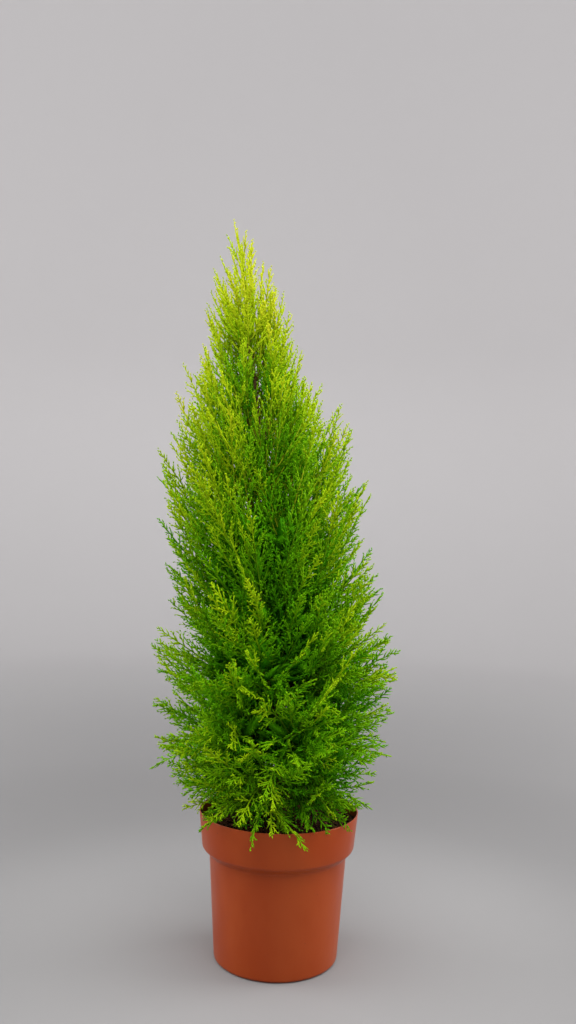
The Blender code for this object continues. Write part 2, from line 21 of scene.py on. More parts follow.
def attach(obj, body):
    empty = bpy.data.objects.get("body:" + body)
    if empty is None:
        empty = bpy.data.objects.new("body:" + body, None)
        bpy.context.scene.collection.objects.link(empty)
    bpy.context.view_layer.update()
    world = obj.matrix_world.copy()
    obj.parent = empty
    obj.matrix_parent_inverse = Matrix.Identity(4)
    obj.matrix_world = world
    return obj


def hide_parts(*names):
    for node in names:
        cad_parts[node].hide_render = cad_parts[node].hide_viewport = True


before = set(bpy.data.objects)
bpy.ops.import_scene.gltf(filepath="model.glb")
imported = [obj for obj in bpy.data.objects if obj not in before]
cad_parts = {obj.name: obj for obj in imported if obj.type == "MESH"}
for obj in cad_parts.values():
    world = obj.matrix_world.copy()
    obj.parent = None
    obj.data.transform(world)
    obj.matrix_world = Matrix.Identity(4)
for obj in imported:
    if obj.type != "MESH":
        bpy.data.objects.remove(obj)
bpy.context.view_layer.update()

Array = np.ndarray
Pair = tuple[float, float]
Triple = tuple[float, float, float]
log = logging.getLogger("cypress")

GOLDEN_ANGLE = math.pi * (3.0 - math.sqrt(5.0))
# Multiples of these two steps, each taken modulo 1, fill a square evenly
EVEN_STEPS = (0.7548777, 0.5698403)
ROOT_BODY = "root"


class Slot(Enum):
    """The record's material slots."""

    POT = "pot_plastic"
    COMPOST = "compost_peat"
    BARK = "stem_bark"
    LEAF = "leaf_green"


# Arrays and meshes


def unit(vectors: Array) -> Array:
    """Scales every vector along the last axis to length one."""
    return vectors / np.maximum(np.linalg.norm(vectors, axis=-1, keepdims=True), 1e-12)


def blend(start: Array | float, end: Array | float, share: Array | float) -> Array | float:
    """The value a share of the way from start to end."""
    return start + (end - start) * share


def ramp(value: Array, ends: Pair) -> Array:
    """How far values are from the first of two ends to the second, kept between 0 and 1."""
    return np.clip((value - ends[0]) / (ends[1] - ends[0]), 0, 1)


def along(paths: Array, share: Array) -> tuple[Array, Array]:
    """Places and directions on paths, by straight runs between a path's points.

    Args:
        paths: Points, shaped (n, k, 3).
        share: How far along each path, from 0 to 1, shaped (n, m).

    Returns:
        The places and the unit directions there, both shaped (n, m, 3).
    """
    last = paths.shape[1] - 1
    spot = np.clip(share, 0.0, 1.0) * last
    low = np.minimum(spot.astype(int), last - 1)
    rows = np.arange(len(paths))[:, None]
    start, end = paths[rows, low], paths[rows, low + 1]
    return blend(start, end, (spot - low)[..., None]), unit(end - start)


def square_axes(direction: Array, reference: Array) -> tuple[Array, Array]:
    """Two unit vectors square to each direction, the first square to the reference too."""
    side = unit(np.cross(direction, reference))
    return side, np.cross(direction, side)


def even_angles(count: int) -> Array:
    """Even angles round a full turn, in radians."""
    return math.tau * np.arange(count) / count


@dataclass
class Shell:
    """Points and triangles of a mesh, with the group that each triangle belongs to."""

    points: Array
    triangles: Array
    group: Array

    @staticmethod
    def joined(shells: list["Shell"]) -> "Shell":
        """One shell from several.

        Args:
            shells: The shells, each kept as it is.

        Returns:
            The joined shell.
        """
        starts = np.cumsum([0] + [len(s.points) for s in shells[:-1]])
        return Shell(
            np.concatenate([s.points for s in shells]),
            np.concatenate([s.triangles + start for s, start in zip(shells, starts)]),
            np.concatenate([s.group for s in shells]),
        )


def tapers(paths: Array, radii: Array, sides: int, group: Array, rng: np.random.Generator) -> Shell:
    """Closed tapers along many paths at once.

    A ring of points stands round each place of a path but the last: centre + radius * (side * cos a +
    up * sin a), where side and up are square to the path. The last place is where the taper closes.

    Args:
        paths: Points, shaped (n, k, 3).
        radii: The radius at each place, shaped (n, k).
        sides: Corners in a ring.
        group: The group of each path, shaped (n,).
        rng: Turns each ring's first corner.

    Returns:
        The tapers as one shell.
    """
    count, places = paths.shape[:2]
    direction = unit(np.gradient(paths, axis=1))
    reference = unit(rng.normal(size=(count, 1, 3)))
    side, up = square_axes(direction, np.broadcast_to(reference, direction.shape))
    angle = even_angles(sides)
    ring = side[:, :-1, None] * np.cos(angle)[:, None] + up[:, :-1, None] * np.sin(angle)[:, None]
    rings = paths[:, :-1, None] + ring * radii[:, :-1, None, None]
    body = (places - 1) * sides
    points = np.concatenate([rings.reshape(count, body, 3), paths[:, -1:]], axis=1)
    corner, follow = np.arange(sides), (np.arange(sides) + 1) % sides
    start = sides * np.arange(places - 2)[:, None]
    near = np.stack([start + corner, start + follow, start + sides + follow], -1)
    far = np.stack([start + corner, start + sides + follow, start + sides + corner], -1)
    last = (places - 2) * sides
    tip = np.stack([last + corner, last + follow, np.full(sides, body)], 1)
    root = np.stack([np.zeros(sides - 2, int), corner[2:], corner[1:-1]], 1)
    one = np.concatenate([near.reshape(-1, 3), far.reshape(-1, 3), tip, root])
    triangles = one[None] + (np.arange(count) * (body + 1))[:, None, None]
    return Shell(points.reshape(-1, 3), triangles.reshape(-1, 3), np.repeat(group, len(one)))


def closed_faces(rings: int, sides: int) -> Array:
    """Triangles of a closed limb: bands between its rings, and a fan at each end.

    Args:
        rings: How many rings of points the limb has. After them come the middles of its two ends.
        sides: Corners in a ring.

    Returns:
        The corners' numbers, shaped (triangles, 3).
    """
    row, corner = np.meshgrid(np.arange(rings - 1), np.arange(sides), indexing="ij")
    a, b = row * sides + corner, row * sides + (corner + 1) % sides
    bands = np.concatenate([np.stack([a, b, b + sides], -1), np.stack([a, b + sides, a + sides], -1)])
    near, follow = np.arange(sides), (np.arange(sides) + 1) % sides
    far = (rings - 1) * sides
    foot = np.stack([follow, near, np.full(sides, rings * sides)], 1)
    head = np.stack([far + near, far + follow, np.full(sides, rings * sides + 1)], 1)
    return np.concatenate([bands.reshape(-1, 3), foot, head])


def skin(path: Array, radii: Array) -> Shell:
    """A closed limb along one path, whose radius changes both along and round it.

    Args:
        path: Points, shaped (k, 3).
        radii: The radius at each place and angle, shaped (k, m).

    Returns:
        The limb, its ends closed by fans of triangles.
    """
    direction = unit(np.gradient(path, axis=0))
    side, up = square_axes(direction, np.broadcast_to(np.array([0.0, 1.0, 0.0]), direction.shape))
    angle = even_angles(radii.shape[1])
    ring = side[:, None] * np.cos(angle)[:, None] + up[:, None] * np.sin(angle)[:, None]
    points = (path[:, None] + ring * radii[..., None]).reshape(-1, 3)
    triangles = closed_faces(*radii.shape)
    return Shell(np.concatenate([points, path[:1], path[-1:]]), triangles, np.zeros(len(triangles), int))


def turned(radius: Array, height: Array) -> Shell:
    """A closed solid turned about Z, from its radius and height at each step of the profile and each angle.

    Args:
        radius: Shaped (k, m), for k steps from the middle of the underside, out and over, to that of the top.
        height: The same shape.

    Returns:
        The solid, whose first and last step close on the axis.
    """
    steps, sides = radius.shape
    angle = even_angles(sides)
    ring = np.stack([radius * np.cos(angle), radius * np.sin(angle), height], -1)[1:-1]
    poles = np.array([[0, 0, height[0].mean()], [0, 0, height[-1].mean()]])
    triangles = closed_faces(steps - 2, sides)
    return Shell(np.concatenate([ring.reshape(-1, 3), poles]), triangles, np.zeros(len(triangles), int))


def make_piece(name: str, shell: Shell, materials: list[bpy.types.Material]) -> bpy.types.Object:
    """Puts a shell into the scene as one piece that rides on the plant's body.

    Args:
        name: The piece's name.
        shell: Its points, triangles and each triangle's material number.
        materials: Its materials.

    Returns:
        The new object.
    """
    mesh = bpy.data.meshes.new(name)
    count = len(shell.triangles)
    mesh.vertices.add(len(shell.points))
    mesh.vertices.foreach_set("co", shell.points.astype(np.float32).ravel())
    mesh.loops.add(3 * count)
    mesh.loops.foreach_set("vertex_index", shell.triangles.astype(np.int32).ravel())
    mesh.polygons.add(count)
    mesh.polygons.foreach_set("loop_start", np.arange(0, 3 * count, 3, dtype=np.int32))
    mesh.polygons.foreach_set("use_smooth", np.ones(count, dtype=bool))
    for material in materials:
        mesh.materials.append(material)
    mesh.polygons.foreach_set("material_index", shell.group.astype(np.int32))
    mesh.update(calc_edges=True)
    piece = bpy.data.objects.new(name, mesh)
    bpy.context.scene.collection.objects.link(piece)
    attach(piece, ROOT_BODY)
    log.info("%s: %d triangles", name, count)
    return piece


def ripples(angle: Array, height: Array, waves: int, most_round: int, up: float, seed: int) -> Array:
    """Soft unevenness over a limb or a surface: a sum of sines whose phase wanders with height.

    Args:
        angle: The angle round the limb.
        height: The height, or any second coordinate, in metres.
        waves: How many sines are added.
        most_round: The most waves round the limb.
        up: Waves per metre.
        seed: Fixes the phases.

    Returns:
        Values between about -1 and 1, of the arguments' shape.
    """
    rng = np.random.default_rng(seed)
    total = np.zeros(np.broadcast(angle, height).shape)
    for _ in range(waves):
        turns = rng.integers(1, most_round + 1)
        rise = rng.uniform(0.3, 1.0) * up * rng.choice([-1.0, 1.0])
        sway, slow, phase = rng.uniform(0.3, 1.2), rng.uniform(0.2, 0.5), rng.uniform(0, math.tau)
        wander = sway * np.sin(height * up * slow + phase)
        total += np.sin(turns * angle + rise * height + wander + rng.uniform(0, math.tau))
    return total / math.sqrt(waves)


# Finishes


@dataclass(frozen=True)
class Mottle:
    """A mottle: its noise's scale, the noise where patches begin and are full, and its stretch along Z."""

    scale: float
    low: float
    high: float
    stretch: float = 1.0


class Nodes:
    """Builds one material's node tree round its Principled shader."""

    def __init__(self, name: str) -> None:
        """Makes the material and keeps its shader at hand."""
        self.material = bpy.data.materials.new(name)
        self.material.use_nodes = True
        self.tree = self.material.node_tree
        self.shader = self.tree.nodes["Principled BSDF"]

    def add(self, kind: str, **values: object) -> bpy.types.Node:
        """Adds a node.

        Args:
            kind: The node's type.
            **values: Properties, or inputs with _ for a space, and what each is set to.

        Returns:
            The node.
        """
        node = self.tree.nodes.new(kind)
        for key, value in values.items():
            if hasattr(node, key):
                setattr(node, key, value)
            else:
                node.inputs[key.replace("_", " ")].default_value = value
        return node

    def link(self, source: bpy.types.NodeSocket, target: bpy.types.NodeSocket) -> None:
        """Joins an output to an input."""
        self.tree.links.new(source, target)

    def place(self) -> bpy.types.NodeSocket:
        """The piece's Object coordinates."""
        return self.add("ShaderNodeTexCoord").outputs["Object"]

    def mottle(self, sizes: Mottle) -> bpy.types.Node:
        """Places the shared mottle effect with sizes of its own."""
        inputs = {"Scale": sizes.scale, "Low": sizes.low, "High": sizes.high, "Stretch": sizes.stretch}
        node = self.add("ShaderNodeGroup", node_tree=mottle_group(), **inputs)
        self.link(self.place(), node.inputs["Place"])
        return node

    def mix(self, mask: bpy.types.NodeSocket, first: object, second: object) -> bpy.types.NodeSocket:
        """Mixes two colours by a mask.

        Args:
            mask: 0 for the first colour, 1 for the second.
            first: A colour, or the socket that gives it.
            second: The same.

        Returns:
            The socket of the mixed colour.
        """
        node = self.add("ShaderNodeMix", data_type="RGBA")
        self.link(mask, node.inputs["Factor"])
        for socket, value in ((node.inputs[6], first), (node.inputs[7], second)):
            if isinstance(value, bpy.types.NodeSocket):
                self.link(value, socket)
            else:
                socket.default_value = (*value, 1.0)
        return node.outputs[2]

    def set(self, **values: float) -> None:
        """Sets plain values on the shader's own sockets."""
        for key, value in values.items():
            self.shader.inputs[key.replace("_", " ")].default_value = value

    def paint(self, colour: bpy.types.NodeSocket) -> None:
        """Feeds a colour to the shader."""
        self.link(colour, self.shader.inputs["Base Color"])

    def relief(self, height: bpy.types.NodeSocket, strength: float, distance: float) -> None:
        """Feeds a height to a Bump node that feeds the shader's normal."""
        bump = self.add("ShaderNodeBump", Strength=strength, Distance=distance)
        self.link(height, bump.inputs["Height"])
        self.link(bump.outputs["Normal"], self.shader.inputs["Normal"])


def mottle_group() -> bpy.types.NodeTree:
    """The shared effect: noise stretched along Z, as a height, and as a mask between two of its levels.

    Returns:
        The group, which is built once.
    """
    found = bpy.data.node_groups.get("mottle")
    if found:
        return found
    tree = bpy.data.node_groups.new("mottle", "ShaderNodeTree")
    face = tree.interface
    face.new_socket("Place", in_out="INPUT", socket_type="NodeSocketVector")
    for name, value in (("Scale", 10.0), ("Low", 0.4), ("High", 0.6), ("Stretch", 1.0)):
        face.new_socket(name, in_out="INPUT", socket_type="NodeSocketFloat").default_value = value
    for name in ("Mask", "Height"):
        face.new_socket(name, in_out="OUTPUT", socket_type="NodeSocketFloat")
    kinds = ("NodeGroupInput", "NodeGroupOutput", "ShaderNodeCombineXYZ", "ShaderNodeVectorMath")
    start, end, shape, scaled = (tree.nodes.new(kind) for kind in kinds)
    shape.inputs["X"].default_value = shape.inputs["Y"].default_value = 1.0
    scaled.operation = "MULTIPLY"
    noise = tree.nodes.new("ShaderNodeTexNoise")
    noise.inputs["Detail"].default_value = 4.0
    spread = tree.nodes.new("ShaderNodeMapRange")
    spread.interpolation_type = "SMOOTHSTEP"
    for source, target in (
        (start.outputs["Stretch"], shape.inputs["Z"]),
        (start.outputs["Place"], scaled.inputs[0]),
        (shape.outputs["Vector"], scaled.inputs[1]),
        (scaled.outputs["Vector"], noise.inputs["Vector"]),
        (start.outputs["Scale"], noise.inputs["Scale"]),
        (noise.outputs["Fac"], spread.inputs["Value"]),
        (start.outputs["Low"], spread.inputs["From Min"]),
        (start.outputs["High"], spread.inputs["From Max"]),
        (spread.outputs["Result"], end.inputs["Mask"]),
        (noise.outputs["Fac"], end.inputs["Height"]),
    ):
        tree.links.new(source, target)
    return tree


@dataclass(frozen=True)
class PotFinish:
    """Thin moulded plastic, terracotta coloured, faintly uneven and dusted with specks of compost."""

    colour: Triple = (0.352, 0.049, 0.006)
    paler: Triple = (0.400, 0.066, 0.011)
    speck: Triple = (0.060, 0.028, 0.016)
    roughness: Pair = (0.30, 0.46)
    patches: Mottle = Mottle(14.0, 0.35, 0.68, 0.6)
    specks: Mottle = Mottle(420.0, 0.735, 0.755)
    smears: Mottle = Mottle(30.0, 0.3, 0.75, 0.3)
    grain: Mottle = Mottle(900.0, 0.3, 0.7)

    def make(self) -> bpy.types.Material:
        """The pot's material: patches, then specks, in its colour, and smears in its gloss."""
        nodes = Nodes("pot_plastic")
        tone = nodes.mix(nodes.mottle(self.patches).outputs["Mask"], self.colour, self.paler)
        nodes.paint(nodes.mix(nodes.mottle(self.specks).outputs["Mask"], tone, self.speck))
        rough = nodes.add("ShaderNodeMapRange", To_Min=self.roughness[0], To_Max=self.roughness[1])
        nodes.link(nodes.mottle(self.smears).outputs["Mask"], rough.inputs["Value"])
        nodes.link(rough.outputs["Result"], nodes.shader.inputs["Roughness"])
        nodes.set(Specular_IOR_Level=0.16, Coat_Weight=0.12, Coat_Roughness=0.30)
        nodes.relief(nodes.mottle(self.grain).outputs["Height"], strength=0.10, distance=0.0004)
        return nodes.material


@dataclass(frozen=True)
class CompostFinish:
    """Dark crumbly peat, paler where it has dried."""

    wet: Triple = (0.024, 0.0095, 0.0035)
    dry: Triple = (0.088, 0.038, 0.016)
    patches: Mottle = Mottle(260.0, 0.42, 0.66)
    grain: Mottle = Mottle(500.0, 0.3, 0.7)

    def make(self, name: str = "compost_peat", lift: float = 1.0) -> bpy.types.Material:
        """The compost's material, or a lighter one for what lies loose on it.

        Args:
            name: The material's name.
            lift: How many times lighter it is.

        Returns:
            The material.
        """
        nodes = Nodes(name)
        wet, dry = (tuple(c * lift for c in colour) for colour in (self.wet, self.dry))
        nodes.paint(nodes.mix(nodes.mottle(self.patches).outputs["Mask"], wet, dry))
        nodes.set(Roughness=0.95, Specular_IOR_Level=0.15)
        nodes.relief(nodes.mottle(self.grain).outputs["Height"], strength=0.8, distance=0.002)
        return nodes.material


@dataclass(frozen=True)
class BarkFinish:
    """Thin bark in long strips, reddish brown with greyer flakes."""

    strip: Triple = (0.110, 0.052, 0.020)
    flake: Triple = (0.170, 0.100, 0.050)
    crack: Triple = (0.034, 0.018, 0.008)
    flakes: Mottle = Mottle(300.0, 0.40, 0.62, 0.12)
    cracks: Mottle = Mottle(420.0, 0.56, 0.66, 0.10)

    def make(self) -> bpy.types.Material:
        """The bark's material: flakes in its colour, and cracks in both its colour and its relief."""
        nodes = Nodes("stem_bark")
        cracks = nodes.mottle(self.cracks)
        tone = nodes.mix(nodes.mottle(self.flakes).outputs["Mask"], self.strip, self.flake)
        nodes.paint(nodes.mix(cracks.outputs["Mask"], tone, self.crack))
        nodes.set(Roughness=0.86, Specular_IOR_Level=0.2)
        nodes.relief(cracks.outputs["Height"], strength=0.7, distance=0.0012)
        return nodes.material


@dataclass(frozen=True)
class LeafFinish:
    """One plain green of the foliage."""

    name: str
    colour: Triple
    roughness: float = 0.58

    def make(self) -> bpy.types.Material:
        """The green's material, its colour on the shader's own socket."""
        nodes = Nodes(self.name)
        nodes.shader.inputs["Base Color"].default_value = (*self.colour, 1.0)
        nodes.set(Roughness=self.roughness, Specular_IOR_Level=0.03)
        return nodes.material


# From the heart of the crown to the newest tips. The plant is greener inside and golden at new tips, and the
# depth and height at which the greens are dealt also add painted shade in the heart and painted light at the
# top
GREENS = (
    LeafFinish("leaf_heart", (0.055, 0.280, 0.002)),
    LeafFinish("leaf_shade", (0.085, 0.345, 0.002)),
    LeafFinish("leaf_deep", (0.130, 0.395, 0.002)),
    LeafFinish("leaf_green", (0.202, 0.462, 0.003)),
    LeafFinish("leaf_bright", (0.318, 0.528, 0.004)),
    LeafFinish("leaf_lime", (0.415, 0.600, 0.005)),
    LeafFinish("leaf_gold", (0.500, 0.640, 0.009)),
    LeafFinish("leaf_tip", (0.600, 0.670, 0.016)),
)

TWIG_FINISHES = (
    LeafFinish("twig_brown", (0.130, 0.100, 0.018), 0.80),
    LeafFinish("twig_green", (0.160, 0.340, 0.008), 0.70),
    LeafFinish("twig_lime", (0.480, 0.560, 0.020), 0.70),
)


# The crown's rule


@dataclass(frozen=True)
class Crown:
    """How the crown is laid out: the trunk's line, its outline, and the lines along which branches climb."""

    foot: Pair = (0.003, 0.1833)
    lean: float = -0.055
    bow: float = -0.055
    trunk_top: float = 0.850
    foot_radius: float = 0.0072
    tip_radius: float = 0.0012
    flare_width: float = 0.0048
    flare_height: float = 0.014
    heights: tuple[float, ...] = (
        0.150, 0.185, 0.225, 0.280, 0.360, 0.420, 0.480, 0.600, 0.680, 0.740, 0.800, 0.860, 0.920, 0.975,
    )  # fmt: skip
    radii: tuple[float, ...] = (
        0.100, 0.128, 0.152, 0.166, 0.168, 0.153, 0.141, 0.137, 0.126, 0.099, 0.073, 0.054, 0.036, 0.010,
    )  # fmt: skip
    top: float = 0.9745
    lowest: float = 0.200
    highest: float = 0.820
    slope: Pair = (-0.06, 2.20)
    slope_power: float = 0.75
    curl: Pair = (-1.2, 5.0)
    furthest: float = 0.25
    halvings: int = 24

    def trunk_centre(self, z: Array) -> Array:
        """The middle of the trunk at heights z: it leans to -X and bows further over as it rises."""
        z = np.asarray(z, float)
        rise = z - self.foot[1]
        x = self.foot[0] + self.lean * rise + self.bow * rise * rise
        return np.stack([x, np.zeros_like(z), z], -1)

    def trunk_radius(self, z: Array) -> Array:
        """The trunk's radius at heights z: an even taper, with a flare at the foot."""
        rise = np.maximum(z - self.foot[1], 0.0)
        share = np.minimum(rise / (self.trunk_top - self.foot[1]), 1.0)
        flare = self.flare_width * np.exp(-rise / self.flare_height)
        return blend(self.foot_radius, self.tip_radius, share) + flare

    def outline(self, z: Array) -> Array:
        """How far the crown's outline lies from the trunk's middle at heights z."""
        return np.interp(z, self.heights, self.radii)

    def flow_height(self, u: Array, r: Array) -> Array:
        """The height, at distance r, of the branch line that leaves at u: u + slope * r + curl * r * r.

        The slope and the curl are blended from their lowest to their highest by how high u is.
        """
        share = np.clip((u - self.lowest) / (self.highest - self.lowest), 0.0, 1.2)
        slope = blend(*self.slope, share**self.slope_power)
        return u + slope * r + blend(*self.curl, share) * r * r

    def place(self, u: Array, phi: Array, r: Array) -> Array:
        """The places of flow coordinates (u, phi, r)."""
        z = self.flow_height(u, r)
        out = np.stack([r * np.cos(phi), r * np.sin(phi), np.zeros_like(z)], -1)
        return self.trunk_centre(z) + out

    def reach_of(self, u: Array, share: Array | float) -> Array:
        """How far out branch lines run before they meet the outline: found by halving the space between.

        Args:
            u: The height at which each line leaves the trunk.
            share: What the outline is scaled by.

        Returns:
            The distance from the trunk, of the arguments' shape.
        """
        low, high = np.zeros_like(np.asarray(u, float)), np.full_like(np.asarray(u, float), self.furthest)
        for _ in range(self.halvings):
            middle = (low + high) / 2
            inside = middle < share * self.outline(self.flow_height(u, middle))
            low, high = np.where(inside, middle, low), np.where(inside, high, middle)
        return low

    def distance(self, points: Array) -> Array:
        """How far points lie from the trunk's middle at their own height."""
        out = points - self.trunk_centre(points[..., 2])
        return np.hypot(out[..., 0], out[..., 1])


@dataclass(frozen=True)
class PotShape:
    """The pot's sizes."""

    height: float = 0.192
    rim_radius: float = 0.1045
    collar_foot_radius: float = 0.0998
    collar_foot_height: float = 0.1460
    shoulder_radius: float = 0.0902
    shoulder_height: float = 0.1375
    foot_radius: float = 0.0812
    foot_round: float = 0.005
    wall: float = 0.0018
    floor: float = 0.0040
    underside: float = 0.030
    drain_holes: int = 6
    drain_radius: float = 0.0055
    drain_circle: float = 0.046
    drain_turn: float = 0.573
    compost_edge: float = 0.1790
    compost_crown: float = 0.1830
    compost_flat: float = 0.022
    gap: float = 0.0003
    swell_start: float = 0.76
    swell_width: float = 0.20

    def outer(self, z: Array) -> Array:
        """The outside radius at heights z, by straight runs."""
        levels = (0.0, self.shoulder_height, self.collar_foot_height, self.height)
        radii = (self.foot_radius, self.shoulder_radius, self.collar_foot_radius, self.rim_radius)
        return np.interp(z, levels, radii)

    def clear(self, points: Array, room: float) -> Array:
        """Whether points are above the compost and the rim, or outside the pot.

        Args:
            points: Points, shaped (..., 3).
            room: How far they have to be from both.

        Returns:
            True or false for each point.
        """
        out, z = np.hypot(points[..., 0], points[..., 1]), points[..., 2]
        over_rim = out > self.rim_radius - self.wall - 2 * room
        outside = out > self.rim_radius + room
        least = np.where(outside, self.shoulder_height, np.where(over_rim, self.height, self.compost_crown))
        return z > least + room

    def lifted(self, paths: Array, room: float) -> Array:
        """Paths raised, where they dip, onto a surface that swells by room over the compost and the rim.

        Its height at distance d from the axis is compost_crown + room, rising by a smooth step to height +
        room at the rim, and falling away outside it by a second smooth step.

        Args:
            paths: Points, shaped (n, k, 3).
            room: How far above the pot the surface lies.

        Returns:
            The raised paths.
        """
        out = np.hypot(paths[..., 0], paths[..., 1])
        start, width = self.swell_start * self.rim_radius, self.swell_width * self.rim_radius
        rise = np.clip((out - start) / width, 0, 1)
        fall = np.clip((out - self.rim_radius - room) / width, 0, 1)
        least = blend(self.compost_crown, self.height, rise**2 * (3 - 2 * rise)) + room
        least = blend(least, self.shoulder_height, fall**2 * (3 - 2 * fall))
        return np.concatenate([paths[..., :2], np.maximum(paths[..., 2], least)[..., None]], -1)


# Pot and compost


@dataclass
class Pot:
    """The nursery pot: a deep collar, a round lip, a flat underside and drain holes."""

    shape: PotShape = field(default_factory=PotShape)
    finish: PotFinish = field(default_factory=PotFinish)
    sides: int = 160
    lip_steps: int = 9
    edge_round: float = 0.0026
    edge_steps: int = 7
    foot_steps: int = 6
    drain_sides: int = 24
    sharp_edge: float = 40.0

    def arc(self, centre: Pair, radius: float, turn: Pair, count: int) -> Array:
        """Points of (radius, height) on an arc, from one angle to another in degrees."""
        angle = np.radians(np.linspace(*turn, count))
        return np.stack([centre[0] + radius * np.cos(angle), centre[1] + radius * np.sin(angle)], -1)

    def corner(self, before: Array, at: Array, after: Array) -> Array:
        """Rounds a corner of the profile by the curve (1-t)^2 a + 2t(1-t) b + t^2 c.

        Args:
            before: The profile's point before the corner.
            at: The corner, which is b. The curve begins at a and ends at c, edge_round away from it.
            after: The profile's point after the corner.

        Returns:
            Points of (radius, height), shaped (edge_steps, 2).
        """
        start = at + unit(before - at) * self.edge_round
        end = at + unit(after - at) * self.edge_round
        share = np.linspace(0, 1, self.edge_steps)[:, None]
        return (1 - share) ** 2 * start + 2 * share * (1 - share) * at + share**2 * end

    def profile(self) -> Array:
        """The pot's section, from the middle of the underside, up the outside and down the inside."""
        s = self.shape
        lip = s.wall / 2
        under = [(0.0, 0.0), (s.underside, 0.0)]
        foot_centre = (s.foot_radius - s.foot_round, s.foot_round)
        foot = self.arc(foot_centre, s.foot_round, (-90, 0), self.foot_steps)
        shoulder = np.array([s.shoulder_radius, s.shoulder_height])
        collar = np.array([s.collar_foot_radius, s.collar_foot_height])
        rim = self.arc((s.rim_radius - lip, s.height - lip), lip, (0, 180), self.lip_steps)
        inside = [(s.outer(h) - s.wall, h) for h in (s.collar_foot_height, s.shoulder_height)]
        inside += [(s.outer(s.floor) - s.wall, s.floor), (s.underside, s.floor), (0.0, s.floor)]
        outside = [foot, self.corner(foot[-1], shoulder, collar), self.corner(shoulder, collar, rim[0]), rim]
        return np.concatenate([np.array(under), *outside, np.array(inside)])

    def build(self) -> bpy.types.Object:
        """Turns the section and cuts the drain holes."""
        section = self.profile()
        ones = np.ones(self.sides)
        shell = turned(section[:, :1] * ones, section[:, 1:] * ones)
        pot = make_piece("pot_dressed", shell, [self.finish.make()])
        self.cut_drains(pot)
        pot.data.set_sharp_from_angle(angle=math.radians(self.sharp_edge))
        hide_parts("pot")
        return pot

    def cut_drains(self, pot: bpy.types.Object) -> None:
        """Cuts the drain holes through the floor with one joined cutter, then removes the cutter.

        Args:
            pot: The pot, whose mesh is replaced by the cut one.
        """
        s = self.shape
        cutter = bmesh.new()
        for i in range(s.drain_holes):
            turn = math.tau * i / s.drain_holes + s.drain_turn
            spot = Vector((s.drain_circle * math.cos(turn), s.drain_circle * math.sin(turn), 0.0))
            bmesh.ops.create_cone(
                cutter, cap_ends=True, segments=self.drain_sides, depth=4 * s.floor, radius1=s.drain_radius,
                radius2=s.drain_radius, matrix=Matrix.Translation(spot) @ Matrix.Rotation(turn / 3, 4, "Z"),
            )  # fmt: skip
        mesh = bpy.data.meshes.new("drains")
        cutter.to_mesh(mesh)
        cutter.free()
        tool = bpy.data.objects.new("drains", mesh)
        bpy.context.scene.collection.objects.link(tool)
        cut = pot.modifiers.new("drains", "BOOLEAN")
        cut.operation, cut.object = "DIFFERENCE", tool
        graph = bpy.context.evaluated_depsgraph_get()
        done = bpy.data.meshes.new_from_object(pot.evaluated_get(graph))
        pot.modifiers.clear()
        pot.data = done
        bpy.data.objects.remove(tool)


